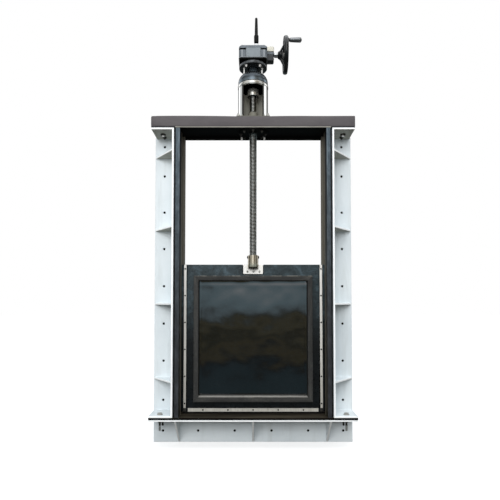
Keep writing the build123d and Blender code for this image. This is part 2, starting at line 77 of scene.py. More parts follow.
class Mat:
    """A node material: Principled with noise driven colour, roughness and bump."""

    def __init__(self, name):
        self.m = bpy.data.materials.new(name)
        self.m.use_nodes = True
        self.t = self.m.node_tree
        self.t.nodes.clear()
        self.out = self.t.nodes.new("ShaderNodeOutputMaterial")
        self.b = self.t.nodes.new("ShaderNodeBsdfPrincipled")
        self.t.links.new(self.b.outputs[0], self.out.inputs[0])
        self.tc = self.t.nodes.new("ShaderNodeTexCoord")

    def node(self, kind, **inputs):
        n = self.t.nodes.new(kind)
        for k, v in inputs.items():
            if k in n.inputs:
                n.inputs[k].default_value = v
            else:
                setattr(n, k, v)
        return n

    def link(self, a, b):
        self.t.links.new(a, b)

    def coords(self, scale=(1, 1, 1), rot=(0, 0, 0), loc=(0, 0, 0)):
        mp = self.t.nodes.new("ShaderNodeMapping")
        mp.inputs["Scale"].default_value = scale
        mp.inputs["Rotation"].default_value = rot
        mp.inputs["Location"].default_value = loc
        self.link(self.tc.outputs["Object"], mp.inputs["Vector"])
        return mp.outputs[0]

    def noise(self, scale, detail=4.0, rough=0.55, dist=0.0, stretch=(1, 1, 1), loc=(0, 0, 0)):
        n = self.t.nodes.new("ShaderNodeTexNoise")
        n.inputs["Scale"].default_value = scale
        n.inputs["Detail"].default_value = detail
        n.inputs["Roughness"].default_value = rough
        n.inputs["Distortion"].default_value = dist
        self.link(self.coords(stretch, loc=loc), n.inputs["Vector"])
        return n.outputs["Fac"]

    def voronoi(self, scale, stretch=(1, 1, 1), feature="F1", rand=1.0):
        n = self.t.nodes.new("ShaderNodeTexVoronoi")
        n.feature = feature
        n.inputs["Scale"].default_value = scale
        n.inputs["Randomness"].default_value = rand
        self.link(self.coords(stretch), n.inputs["Vector"])
        return n.outputs["Distance"]

    def ramp(self, fac, stops):
        r = self.t.nodes.new("ShaderNodeValToRGB")
        els = r.color_ramp.elements
        while len(els) < len(stops):
            els.new(0.5)
        for e, (p, c) in zip(els, stops):
            e.position = p
            e.color = c if len(c) == 4 else (*c, 1.0)
        self.link(fac, r.inputs["Fac"])
        return r.outputs["Color"]

    def map(self, fac, lo, hi, a=0.3, b=0.7):
        n = self.t.nodes.new("ShaderNodeMapRange")
        n.inputs["From Min"].default_value = a
        n.inputs["From Max"].default_value = b
        n.inputs["To Min"].default_value = lo
        n.inputs["To Max"].default_value = hi
        self.link(fac, n.inputs["Value"])
        return n.outputs["Result"]

    def mix(self, fac, a, b, mode="MIX"):
        n = self.t.nodes.new("ShaderNodeMix")
        n.data_type = "RGBA"
        n.blend_type = mode
        ins = [i for i in n.inputs if i.type == "RGBA"]
        if isinstance(fac, (int, float)):
            n.inputs["Factor"].default_value = fac
        else:
            self.link(fac, n.inputs["Factor"])
        for i, v in zip(ins, (a, b)):
            if isinstance(v, (tuple, list)):
                i.default_value = v
            else:
                self.link(v, i)
        return [o for o in n.outputs if o.type == "RGBA"][0]

    def math(self, op, a, b=None):
        n = self.t.nodes.new("ShaderNodeMath")
        n.operation = op
        for i, v in zip(n.inputs, (a, b)):
            if v is None:
                continue
            if isinstance(v, (int, float)):
                i.default_value = v
            else:
                self.link(v, i)
        return n.outputs[0]

    def axis(self, which):
        """A coordinate of the object's own space, in metres."""
        s = self.t.nodes.new("ShaderNodeSeparateXYZ")
        self.link(self.tc.outputs["Object"], s.inputs[0])
        return s.outputs[which]

    def bump(self, height, dist=0.001, strength=1.0, after=None):
        n = self.t.nodes.new("ShaderNodeBump")
        n.inputs["Strength"].default_value = strength
        n.inputs["Distance"].default_value = dist
        self.link(height, n.inputs["Height"])
        if after is not None:
            self.link(after, n.inputs["Normal"])
        return n.outputs["Normal"]

    def set(self, **kw):
        names = {
            "color": "Base Color",
            "rough": "Roughness",
            "metal": "Metallic",
            "spec": "Specular IOR Level",
            "coat": "Coat Weight",
            "coat_rough": "Coat Roughness",
            "normal": "Normal",
            "coat_normal": "Coat Normal",
            "ior": "IOR",
        }
        for k, v in kw.items():
            i = self.b.inputs[names[k]]
            if isinstance(v, (int, float, tuple, list)):
                i.default_value = v
            else:
                self.link(v, i)
        return self


def scaled(c, k):
    return (min(c[0] * k, 1), min(c[1] * k, 1), min(c[2] * k, 1), 1.0)


def simple(name, base, rough, metal=0.0, var=0.12, scale=6.0, rvar=0.08, bump=0.0002, bscale=300.0, coat=0.0, spec=0.5, stretch=(1, 1, 1)):
    m = Mat(name)
    n1 = m.noise(scale, 5.0, 0.6, 0.3, stretch)
    col = m.ramp(n1, [(0.28, scaled(base, 1 - var)), (0.5, base), (0.74, scaled(base, 1 + var))])
    n2 = m.noise(scale * 7, 3.0, 0.6, 0.0, stretch)
    r = m.map(n2, max(rough - rvar, 0.02), min(rough + rvar, 1.0))
    n3 = m.noise(bscale, 2.0, 0.5)
    m.set(color=col, rough=r, metal=metal, spec=spec, normal=m.bump(n3, bump))
    if coat:
        m.set(coat=coat, coat_rough=0.08)
    return m.m


def make_white():
    m = Mat("white_moulding")
    base = lin(219, 226, 229)
    big = m.noise(1.6, 4.0, 0.55, 0.4)
    fine = m.noise(26.0, 5.0, 0.6)
    col = m.ramp(big, [(0.25, lin(206, 214, 218)), (0.5, base), (0.8, lin(230, 236, 238))])
    # faint grey run marks, mostly downwards
    runs = m.noise(9.0, 5.0, 0.65, 0.2, (1.0, 1.0, 0.12))
    marks = m.map(runs, 0.0, 0.30, 0.54, 0.74)
    col = m.mix(marks, col, lin(176, 181, 178))
    # small dark specks and scuffs
    specks = m.voronoi(60.0)
    spot = m.map(specks, 1.0, 0.0, 0.0, 0.10)
    gate = m.map(m.noise(5.0, 2.0), 0.0, 0.6, 0.56, 0.70)
    col = m.mix(m.math("MULTIPLY", spot, gate), col, lin(110, 108, 98))
    scuff = m.noise(23.0, 6.0, 0.75, 1.6, (1.0, 1.0, 2.2))
    col = m.mix(m.map(scuff, 0.0, 0.35, 0.66, 0.74), col, lin(150, 150, 142))
    rough = m.map(fine, 0.30, 0.48)
    peel = m.noise(160.0, 2.0, 0.5)
    m.set(color=col, rough=rough, spec=0.40, normal=m.bump(peel, 0.00025))
    return m.m


def make_beam():
    m = Mat("beam_grey")
    big = m.noise(2.2, 5.0, 0.6, 0.5, (1.0, 1.0, 2.5))
    col = m.ramp(big, [(0.2, lin(76, 73, 75)), (0.5, lin(86, 82, 84)), (0.8, lin(97, 93, 94))])
    dust = m.noise(40.0, 6.0, 0.7, 0.0, (0.5, 1.0, 1.0))
    col = m.mix(m.map(dust, 0.0, 0.30, 0.5, 0.8), col, lin(112, 108, 107))
    scr = m.noise(14.0, 3.0, 0.7, 1.2, (0.6, 1.0, 6.0))
    col = m.mix(m.map(scr, 0.0, 0.30, 0.66, 0.74), col, lin(126, 121, 118))
    grit = m.noise(420.0, 3.0, 0.6)
    m.set(color=col, rough=m.map(dust, 0.5, 0.72), spec=0.30, normal=m.bump(grit, 0.0004))
    return m.m


def make_painted_highlight_edge():
    """Front edges of the mouldings: a painted highlight, brighter than the faces behind."""
    m = Mat("edge_painted_highlight")
    n = m.noise(20.0, 5.0, 0.6, 0.3)
    col = m.ramp(n, [(0.25, lin(238, 241, 241)), (0.5, lin(248, 250, 250)), (0.8, lin(254, 254, 254))])
    m.set(color=col, rough=m.map(n, 0.30, 0.45), spec=0.5, normal=m.bump(m.noise(160.0, 2.0), 0.0002))
    return m.m


def make_down_face_shade():
    """Faces that look down: painted shade, olive grey."""
    m = Mat("white_painted_shade_down")
    n = m.noise(9.0, 5.0, 0.6, 0.3)
    col = m.ramp(n, [(0.28, lin(160, 160, 150)), (0.5, lin(176, 176, 166)), (0.74, lin(190, 190, 181))])
    m.set(color=col, rough=m.map(n, 0.45, 0.6), spec=0.3, normal=m.bump(m.noise(160.0, 2.0), 0.0003))
    return m.m


def make_beam_edge():
    """Foot plate of the beam: lighter between the rails, dark over the side frames."""
    m = Mat("beam_edge")
    n = m.noise(9.0, 5.0, 0.6, 0.3, (0.4, 1.0, 1.0))
    mid = m.ramp(n, [(0.28, lin(108, 107, 102)), (0.5, lin(130, 128, 121)), (0.74, lin(150, 148, 140))])
    end = m.ramp(n, [(0.28, lin(40, 40, 43)), (0.74, lin(58, 58, 61))])
    far = m.math("GREATER_THAN", m.math("ABSOLUTE", m.axis(0)), 0.757)
    m.set(color=m.mix(far, mid, end), rough=m.map(n, 0.45, 0.62), spec=0.2, normal=m.bump(m.noise(300.0, 3.0), 0.0003))
    return m.m


def make_rail():
    m = Mat("rail_plastic")
    # painted reflection by height: blue-grey slate high up, near black low down
    h = m.map(m.axis(2), 0.0, 1.0, 1.2, 3.0)
    mott = m.noise(24.0, 8.0, 0.78, 0.6, (1.0, 1.0, 0.40))
    hi = m.ramp(mott, [(0.30, lin(44, 53, 60)), (0.5, lin(72, 84, 92)), (0.70, lin(102, 115, 124))])
    lo = m.ramp(mott, [(0.30, lin(26, 27, 29)), (0.5, lin(42, 43, 46)), (0.70, lin(64, 66, 70))])
    col = m.mix(h, lo, hi)
    # painted highlight: a long pale streak towards the inner edge, strongest near the top
    x = m.math("ABSOLUTE", m.axis(0))
    edge = m.math("MULTIPLY", m.map(x, 0.0, 1.0, 0.7125, 0.717), m.map(x, 1.0, 0.0, 0.721, 0.727))
    brk = m.map(m.noise(6.0, 5.0, 0.7, 0.0, (1.0, 1.0, 0.8)), 0.0, 1.0, 0.46, 0.60)
    up = m.map(m.axis(2), 0.05, 0.45, 1.0, 2.8)
    col = m.mix(m.math("MULTIPLY", m.math("MULTIPLY", m.math("MULTIPLY", edge, brk), up), 0.6), col, lin(136, 149, 158))
    fine = m.noise(40.0, 6.0, 0.75, 0.3, (1.0, 1.0, 0.5))
    col = m.mix(m.map(fine, 0.0, 0.45, 0.55, 0.72), col, lin(26, 28, 30))
    grain = m.noise(260.0, 3.0, 0.6)
    m.set(color=col, rough=m.map(fine, 0.38, 0.56), spec=0.35, normal=m.bump(grain, 0.0003))
    return m.m


def make_rail_inner():
    """Inner side and lip of the rail: near black, a little olive low down."""
    m = Mat("rail_inner")
    h = m.map(m.axis(2), 1.0, 0.0, 0.35, 1.5)
    big = m.noise(5.0, 5.0, 0.6, 0.3, (1.0, 1.0, 0.25))
    hi = m.ramp(big, [(0.25, lin(7, 7, 6)), (0.5, lin(13, 12, 11)), (0.8, lin(24, 21, 18))])
    lo = m.ramp(big, [(0.25, lin(22, 20, 15)), (0.5, lin(36, 32, 24)), (0.8, lin(54, 49, 38))])
    col = m.mix(h, hi, lo)
    y = m.axis(1)
    line = m.math("MULTIPLY", m.map(y, 0.0, 1.0, -0.205, -0.190), m.map(y, 1.0, 0.0, -0.115, -0.100))
    col = m.mix(m.math("MULTIPLY", line, 0.9), col, lin(104, 99, 86))
    back = m.map(y, 0.0, 1.0, -0.060, -0.053)
    col = m.mix(m.math("MULTIPLY", back, 0.95), col, lin(100, 97, 88))
    fine = m.noise(60.0, 4.0, 0.65, 0.2, (1.0, 1.0, 0.2))
    m.set(color=col, rough=m.map(fine, 0.40, 0.58), spec=0.2, normal=m.bump(fine, 0.0004))
    return m.m


def make_leaf():
    """Black moulded skin: long gentle waves in a hard gloss."""
    m = Mat("leaf_composite")
    big = m.noise(2.4, 4.0, 0.5, 0.6)
    col = m.ramp(big, [(0.25, lin(4, 7, 8)), (0.55, lin(7, 11, 13)), (0.85, lin(11, 15, 18))])
    dust = m.noise(34.0, 6.0, 0.7)
    col = m.mix(m.map(dust, 0.0, 0.10, 0.52, 0.8), col, lin(60, 62, 62))
    wave = m.noise(2.2, 2.0, 0.35, 0.4, (1.0, 1.0, 0.8))
    wave2 = m.noise(9.0, 2.0, 0.4)
    peel = m.noise(240.0, 2.0, 0.5)
    n = m.bump(wave, 0.0045)
    n = m.bump(wave2, 0.00035, after=n)
    n = m.bump(peel, 0.00002, after=n)
    rough = m.map(dust, 0.03, 0.10)
    m.set(color=col, rough=rough, spec=0.9, normal=n, coat=0.6, coat_rough=0.03, coat_normal=n)
    return m.m


def make_band():
    """Outer band of the leaf: slate above, almost black low down, a painted reflection of the sky above and the dark
    ground below.
    """
    m = Mat("leaf_band")
    h = m.map(m.axis(2), 0.0, 1.0, 1.02, 1.50)
    big = m.noise(7.0, 7.0, 0.7, 1.2)
    hi = m.ramp(big, [(0.30, lin(20, 27, 29)), (0.5, lin(42, 53, 57)), (0.72, lin(72, 88, 96))])
    lo = m.ramp(big, [(0.30, lin(3, 4, 5)), (0.5, lin(8, 11, 13)), (0.72, lin(17, 22, 26))])
    col = m.mix(h, lo, hi)
    nick = m.noise(26.0, 6.0, 0.78, 1.6, (1.0, 1.0, 0.6))
    col = m.mix(m.map(nick, 0.0, 0.9, 0.60, 0.68), col, lin(6, 8, 9))
    dust = m.noise(30.0, 6.0, 0.7)
    wave = m.noise(4.0, 2.0, 0.4, 0.5)
    peel = m.noise(200.0, 2.0, 0.5)
    n = m.bump(wave, 0.003)
    n = m.bump(peel, 0.0001, after=n)
    m.set(color=col, rough=m.map(dust, 0.22, 0.42), spec=0.35, normal=n)
    return m.m


def ring_tones(name, k, streak):
    m = Mat(name)
    big = m.noise(9.0, 8.0, 0.75, 0.8, streak)
    col = m.ramp(big, [(0.25, scaled(lin(30, 30, 30), k)), (0.5, scaled(lin(50, 50, 49), k)), (0.75, scaled(lin(76, 75, 72), k))])
    fib = m.noise(60.0, 6.0, 0.7, 0.4)
    col = m.mix(m.map(fib, 0.0, 0.35, 0.5, 0.78), col, scaled(lin(92, 90, 84), k))
    nick = m.noise(19.0, 5.0, 0.75, 1.8)
    col = m.mix(m.map(nick, 0.0, 0.85, 0.62, 0.70), col, lin(16, 15, 14))
    # broken bright line painted along the top member's outer top edge: a painted highlight
    z, y = m.axis(2), m.axis(1)
    top_edge_highlight = m.math("MULTIPLY", m.map(z, 0.0, 1.0, 1.6595, 1.6625), m.map(y, 1.0, 0.0, -0.229, -0.222))
    brk = m.map(m.noise(13.0, 5.0, 0.7), 0.0, 1.0, 0.50, 0.58)
    col = m.mix(m.math("MULTIPLY", top_edge_highlight, brk), col, scaled(lin(122, 119, 112), min(1.0, k * 1.1)))
    m.set(color=col, rough=m.map(fib, 0.46, 0.68), spec=0.25, normal=m.bump(fib, 0.0006))
    return m.m


def make_steel(name, base, rough, brush=(1, 1, 1), var=0.10, bump=0.00008, scale=90.0, metal=1.0):
    m = Mat(name)
    br = m.noise(scale, 4.0, 0.6, 0.0, brush)
    big = m.noise(7.0, 4.0, 0.6, 0.4)
    col = m.ramp(big, [(0.25, scaled(base, 1 - var)), (0.55, base), (0.8, scaled(base, 1 + var * 0.7))])
    r = m.map(br, rough * 0.7, rough * 1.35)
    m.set(color=col, rough=r, metal=metal, normal=m.bump(br, bump))
    return m.m


def make_strip():
    """Clamp strips: painted light and shade by height, pale and bright at the top and duller low down; scuffed."""
    m = Mat("strip_steel")
    h = m.map(m.axis(2), 0.0, 1.0, 0.35, 1.75)
    br = m.noise(70.0, 5.0, 0.7, 0.0, (1.0, 1.0, 0.06))
    hi = m.ramp(br, [(0.25, lin(226, 224, 217)), (0.6, lin(245, 243, 238)), (0.85, lin(252, 251, 247))])
    lo = m.ramp(br, [(0.25, lin(168, 165, 156)), (0.6, lin(196, 193, 184)), (0.85, lin(214, 211, 203))])
    col = m.mix(h, lo, hi)
    mark = m.noise(16.0, 5.0, 0.7, 1.0, (1.0, 1.0, 0.5))
    col = m.mix(m.map(mark, 0.0, 0.6, 0.60, 0.70), col, lin(104, 101, 92))
    m.set(color=col, rough=m.map(br, 0.38, 0.55), metal=0.05, spec=0.4, normal=m.bump(br, 0.0001))
    return m.m


def make_stem():
    """Threaded rod: bright crests, dark roots."""
    m = Mat("stem_steel")
    x = m.math("MULTIPLY", m.axis(0), m.axis(0))
    yy = m.math("ADD", m.axis(1), -STEM_Y)
    y = m.math("MULTIPLY", yy, yy)
    r = m.math("SQRT", m.math("ADD", x, y))
    crest = m.map(r, 0.0, 1.0, 0.0322, 0.0356)
    tone = m.noise(30.0, 5.0, 0.65, 0.5)
    lo = m.ramp(tone, [(0.2, lin(22, 20, 18)), (0.8, lin(52, 48, 43))])
    hi = m.ramp(tone, [(0.25, lin(176, 174, 168)), (0.55, lin(226, 225, 220)), (0.85, lin(250, 250, 247))])
    col = m.mix(crest, lo, hi)
    m.set(color=col, rough=m.map(tone, 0.14, 0.26), metal=1.0, normal=m.bump(m.noise(300.0, 3.0), 0.0001))
    return m.m


def make_sill():
    m = Mat("black_plastic")
    big = m.noise(9.0, 6.0, 0.7, 0.4, (0.16, 1.4, 1.0))
    col = m.ramp(big, [(0.28, lin(20, 19, 16)), (0.5, lin(50, 46, 39)), (0.74, lin(86, 80, 69))])
    fine = m.noise(70.0, 5.0, 0.7)
    col = m.mix(m.map(fine, 0.0, 0.4, 0.5, 0.8), col, lin(98, 88, 74))
    edge = m.map(m.axis(2), 1.0, 0.0, 0.3030, 0.3044)
    col = m.mix(edge, col, lin(2, 2, 2))
    m.set(color=col, rough=m.map(fine, 0.6, 0.85), spec=0.03, normal=m.bump(fine, 0.0005))
    return m.m


def make_cover():
    m = Mat("gearbox_grey")
    n = m.noise(14.0, 5.0, 0.6, 0.3)
    col = m.ramp(n, [(0.28, lin(80, 86, 91)), (0.5, lin(93, 99, 105)), (0.74, lin(108, 114, 120))])
    # painted highlights: pale upright lines near the front and back corners; and a darker foot
    z = m.axis(2)
    foot = m.map(z, 1.0, 0.0, 3.8135, 3.826)
    col = m.mix(m.math("MULTIPLY", foot, 0.55), col, lin(40, 43, 46))
    x = m.math("ABSOLUTE", m.axis(0))
    hi = m.math("MULTIPLY", m.map(x, 0.0, 1.0, 0.096, 0.104), m.map(x, 1.0, 0.0, 0.112, 0.120))
    low = m.map(z, 1.0, 0.0, 3.882, 3.886)
    col = m.mix(m.math("MULTIPLY", m.math("MULTIPLY", hi, low), 0.45), col, lin(168, 172, 176))
    m.set(color=col, rough=m.map(m.noise(90.0, 3.0), 0.34, 0.50), spec=0.45, normal=m.bump(m.noise(260.0, 3.0), 0.0006))
    return m.m


def make_flange_rim():
    """Gearbox flange: dark glossy paint, paler on its rim."""
    m = Mat("gearbox_flange")
    n = m.noise(30.0, 4.0, 0.6)
    dark = m.ramp(n, [(0.3, lin(24, 25, 26)), (0.7, lin(38, 40, 42))])
    rim = m.math("MULTIPLY", m.map(m.axis(2), 0.0, 1.0, 3.7545, 3.7575), m.map(m.axis(2), 1.0, 0.0, 3.777, 3.781))
    col = m.mix(m.math("MULTIPLY", rim, m.map(n, 0.2, 0.7, 0.4, 0.7)), dark, lin(110, 114, 118))
    m.set(color=col, rough=m.map(n, 0.22, 0.34), spec=0.5, normal=m.bump(m.noise(260.0, 3.0), 0.0004))
    return m.m


def make_adapter():
    """Shoulder casting: blue-grey foot; the dome above darker, a painted reflection of the dark flange above it."""
    m = Mat("adapter_metal")
    n = m.noise(16.0, 5.0, 0.6, 0.3)
    t = m.map(m.axis(2), 0.0, 1.0, 3.58, 3.70)
    col = m.ramp(t, [
        (0.00, lin(70, 76, 80)), (0.03, lin(88, 96, 102)), (0.06, lin(132, 143, 151)), (0.16, lin(112, 124, 133)),
        (0.22, lin(120, 131, 139)), (0.26, lin(88, 95, 101)), (1.00, lin(70, 76, 81)),
    ])
    m.set(color=col, rough=m.map(n, 0.18, 0.30), metal=0.85, normal=m.bump(n, 0.0002))
    return m.m


def make_machined_rim():
    """Machined rim of the pedestal: bright turned metal."""
    m = Mat("machined_rim")
    n = m.noise(20.0, 5.0, 0.6, 0.2, (1.0, 1.0, 0.3))
    base = m.ramp(n, [(0.3, lin(236, 234, 227)), (0.7, lin(253, 252, 248))])
    m.set(color=base, rough=m.map(n, 0.12, 0.24), metal=0.9, normal=m.bump(n, 0.0001))
    return m.m


def make_sleeve():
    """Turning sleeve: bright lower part, blue-grey upper part."""
    m = Mat("sleeve_metal")
    n = m.noise(24.0, 5.0, 0.65, 0.2, (1.0, 1.0, 0.3))
    low = m.ramp(n, [(0.25, lin(206, 202, 192)), (0.6, lin(242, 240, 233)), (0.85, lin(253, 252, 248))])
    up = m.ramp(n, [(0.25, lin(96, 108, 118)), (0.6, lin(130, 142, 152)), (0.85, lin(166, 176, 184))])
    col = m.mix(m.map(m.axis(2), 0.0, 1.0, 3.545, 3.60), low, up)
    # near-black foot: painted shade on the sleeve's lower end
    foot = m.map(m.axis(2), 1.0, 0.0, 3.4695, 3.4715)
    col = m.mix(foot, col, lin(6, 6, 5))
    m.set(color=col, rough=m.map(n, 0.16, 0.28), metal=0.9, normal=m.bump(n, 0.0001))
    return m.m


def make_cup():
    """Socket of the stem: turned metal, a little brown, dark at its foot, a painted shade where it sits in the
    bracket's seat.
    """
    m = Mat("cup_metal")
    n = m.noise(40.0, 5.0, 0.65, 0.2, (1.0, 1.0, 0.3))
    col = m.ramp(n, [(0.25, lin(168, 160, 142)), (0.6, lin(192, 184, 166)), (0.85, lin(212, 205, 188))])
    foot = m.map(m.axis(2), 1.0, 0.0, 1.745, 1.760)
    col = m.mix(m.math("MULTIPLY", foot, 0.85), col, lin(14, 13, 12))
    m.set(color=col, rough=m.map(n, 0.16, 0.28), metal=0.95, normal=m.bump(n, 0.0001))
    return m.m


M = {
    "white": make_white(),
    "edge_painted_highlight": make_painted_highlight_edge(),
    "beam": make_beam(),
    "rail": make_rail(),
    "rail_inner": make_rail_inner(),
    "leaf": make_leaf(),
    "band": make_band(),
    "ring": ring_tones("ring_upright", 1.0, (1.0, 1.0, 0.2)),
    "ring_flat": ring_tones("ring_level", 0.92, (0.2, 1.0, 1.0)),
    # the faces of the opening: the same tones darkened, painted shade
    "ring_opening_painted_shade": ring_tones("ring_opening_painted_shade", 0.42, (1.0, 1.0, 1.0)),
    "stem": make_stem(),
    "sill": make_sill(),
    "beam_edge": make_beam_edge(),
    "lip": simple("gearbox_lip", lin(142, 147, 151), 0.42, var=0.12, scale=12.0, bump=0.0004),
    # near black: the colour of the black parts, and painted shade where it is put on undersides and recesses
    "black": simple("under_black", lin(14, 13, 12), 0.7, var=0.25, scale=12.0, bump=0.0004, bscale=200.0, spec=0.15),
    "hole": simple("hole_shade_black", lin(22, 22, 21), 0.8, var=0.2, scale=40.0, bump=0.0002, spec=0.1),
    "rubber": simple("seal_rubber", lin(20, 19, 18), 0.75, var=0.2, scale=30.0, spec=0.2),
    "strip": make_strip(),
    "steel": make_steel("satin_steel", lin(196, 194, 188), 0.30, (1, 1, 1), metal=0.7),
    "polished": make_steel("polished_steel", lin(238, 238, 235), 0.08, (1.0, 1.0, 0.08), var=0.05, bump=0.00003),
    "cup": make_cup(),
    "sleeve": make_sleeve(),
    "adapter": make_adapter(),
    "rim": make_machined_rim(),
    "under": make_down_face_shade(),
    "bush": simple("bush_metal", lin(112, 110, 100), 0.42, metal=0.1, var=0.16, scale=30.0, bump=0.0002),
    "flange": make_flange_rim(),
    "pipe_inner": simple("pipe_inner", lin(170, 168, 158), 0.6, metal=0.0, var=0.14, scale=12.0, bump=0.0001, stretch=(1, 1, 0.3)),
    # near-white and not metallic: a painted glint on the bolt ends and studs
    "bolt_end": make_steel("bolt_end", lin(254, 253, 250), 0.30, (1, 1, 1), var=0.04, metal=0.0),
    "base": simple("pedestal_base", lin(96, 94, 86), 0.5, metal=0.2, var=0.15, scale=18.0, bump=0.0002),
    "opening_foot_light": simple("pale_foot_painted_light", lin(158, 156, 150), 0.5, var=0.18, scale=9.0, bump=0.0002),
    # near black: dark joints and screw heads, and painted shade on the pedestal ring's underside and behind the plate
    # and strips
    "seam": simple("seam_black", lin(4, 4, 4), 0.8, var=0.3, scale=20.0, spec=0.01),
    "bolt": make_steel("bolt_steel", lin(186, 184, 178), 0.34, (1, 1, 1), var=0.15, metal=0.8),
    "bolt_dark": make_steel("bolt_dark", lin(66, 64, 60), 0.42, (1, 1, 1), var=0.25, metal=0.6),
    "chrome": make_steel("chrome", lin(228, 228, 228), 0.07, (0.05, 1, 1), var=0.03, bump=0.00002),
    "gear": make_cover(),
    "gear_dark": simple("gearbox_dark", lin(50, 52, 54), 0.36, var=0.16, scale=12.0, bump=0.0006, bscale=260.0),
    "plate": simple("plate_metal", lin(126, 133, 138), 0.40, metal=0.2, var=0.08, scale=20.0, bump=0.0001),
    "ivory": simple("ivory_plastic", lin(200, 197, 184), 0.34, var=0.06, scale=14.0, coat=0.2),
    "mast": simple("mast_black", lin(12, 12, 12), 0.42, var=0.2, scale=30.0, spec=0.3),
    "wheel": simple("wheel_black", lin(16, 17, 18), 0.18, var=0.2, scale=18.0, bump=0.0003, bscale=120.0, coat=0.3),
    "grip": make_steel("grip_metal", lin(150, 152, 154), 0.26, (0.1, 1, 1), var=0.12, metal=0.9),
}


# ------------------------------------------------------------------ mesh helpers
def obj_from(name, bm, mats, body, nodes=(), smooth=35.0, bevel=0.0, segs=3, angle=35.0):
    me = bpy.data.meshes.new(name)
    bmesh.ops.remove_doubles(bm, verts=bm.verts, dist=1e-7)
    bmesh.ops.recalc_face_normals(bm, faces=bm.faces)
    bm.to_mesh(me)
    bm.free()
    o = bpy.data.objects.new(name, me)
    scene.collection.objects.link(o)
    for m in mats if isinstance(mats, (list, tuple)) else [mats]:
        me.materials.append(m)
    if bevel:
        b = o.modifiers.new("bevel", "BEVEL")
        b.width = bevel
        b.segments = segs
        b.limit_method = "ANGLE"
        b.angle_limit = math.radians(angle)
        b.harden_normals = False
        b.use_clamp_overlap = True
    if smooth:
        me.polygons.foreach_set("use_smooth", [True] * len(me.polygons))
        if not bevel:
            me.set_sharp_from_angle(angle=math.radians(smooth))
    if bevel and smooth:
        w = o.modifiers.new("weighted", "WEIGHTED_NORMAL")
        w.keep_sharp = True
        w.weight = 80
    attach(o, body)
    if nodes:
        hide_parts(*([nodes] if isinstance(nodes, str) else nodes))
    return o


def add_box(bm, lo, hi, mat=0):
    v = [
        bm.verts.new((x, y, z))
        for z in (lo[2], hi[2])
        for y in (lo[1], hi[1])
        for x in (lo[0], hi[0])
    ]
    idx = [(0, 2, 3, 1), (4, 5, 7, 6), (0, 1, 5, 4), (2, 6, 7, 3), (0, 4, 6, 2), (1, 3, 7, 5)]
    out = []
    for f in idx:
        face = bm.faces.new([v[i] for i in f])
        face.material_index = mat
        out.append(face)
    return v, out


def add_prism(bm, pts, axis, a, b, mat=0):
    """pts: 2D outline in the plane perpendicular to axis; a, b: the two ends."""

    def at(p, t):
        if axis == "X":
            return (t, p[0], p[1])
        if axis == "Y":
            return (p[0], t, p[1])
        return (p[0], p[1], t)

    lo = [bm.verts.new(at(p, a)) for p in pts]
    hi = [bm.verts.new(at(p, b)) for p in pts]
    n = len(pts)
    faces = [bm.faces.new(lo), bm.faces.new(list(reversed(hi)))]
    for i in range(n):
        faces.append(bm.faces.new((lo[i], lo[(i + 1) % n], hi[(i + 1) % n], hi[i])))
    for f in faces:
        f.material_index = mat
    return faces


def add_lathe(bm, profile, origin, axis="Z", n=96, mat=0, phase=0.0):
    """Closed surface of revolution. profile: (r, t) from one end to the other; r 0 closes it."""
    rings = []
    for r, t in profile:
        if r < 1e-7:
            rings.append([bm.verts.new(place(0, 0, t, origin, axis))])
            continue
        ring = []
        for i in range(n):
            a = 2 * math.pi * i / n + phase
            ring.append(bm.verts.new(place(r * math.cos(a), r * math.sin(a), t, origin, axis)))
        rings.append(ring)
    for a, b in zip(rings, rings[1:]):
        if len(a) == 1 and len(b) == 1:
            continue
        for i in range(n):
            j = (i + 1) % n
            if len(a) == 1:
                f = bm.faces.new((a[0], b[i], b[j]))
            elif len(b) == 1:
                f = bm.faces.new((a[i], a[j], b[0]))
            else:
                f = bm.faces.new((a[i], a[j], b[j], b[i]))
            f.material_index = mat
    return rings


def add_tube_lathe(bm, profile, origin, axis="Z", n=96, mat=0):
    """Profile is a closed loop (r, t), all r > 0: a ring."""
    rings = []
    for r, t in profile:
        rings.append(
            [
                bm.verts.new(
                    place(r * math.cos(2 * math.pi * i / n), r * math.sin(2 * math.pi * i / n), t, origin, axis)
                )
                for i in range(n)
            ]
        )
    m = len(rings)
    for k in range(m):
        a, b = rings[k], rings[(k + 1) % m]
        for i in range(n):
            j = (i + 1) % n
            f = bm.faces.new((a[i], a[j], b[j], b[i]))
            f.material_index = mat
    return rings


def place(u, v, t, origin, axis):
    ox, oy, oz = origin
    if axis == "Z":
        return (ox + u, oy + v, oz + t)
    if axis == "X":
        return (ox + t, oy + u, oz + v)
    return (ox + u, oy + t, oz + v)


def round_profile(pts, radius=0.002, segs=3):
    """Rounds the corners of an open (r, t) profile."""
    out = [pts[0]]
    for a, b, c in zip(pts, pts[1:], pts[2:]):
        pa, pb, pc = Vector(a), Vector(b), Vector(c)
        d1, d2 = (pa - pb), (pc - pb)
        if d1.length < 1e-9 or d2.length < 1e-9:
            continue
        ang = d1.angle(d2)
        if ang > math.radians(172):
            out.append(b)
            continue
        cut = min(radius / math.tan(ang / 2), d1.length * 0.45, d2.length * 0.45)
        p1, p2 = pb + d1.normalized() * cut, pb + d2.normalized() * cut
        for k in range(segs + 1):
            s = k / segs
            q = p1 * (1 - s) ** 2 + pb * 2 * s * (1 - s) + p2 * s**2
            out.append((q.x, q.y))
    out.append(pts[-1])
    return out


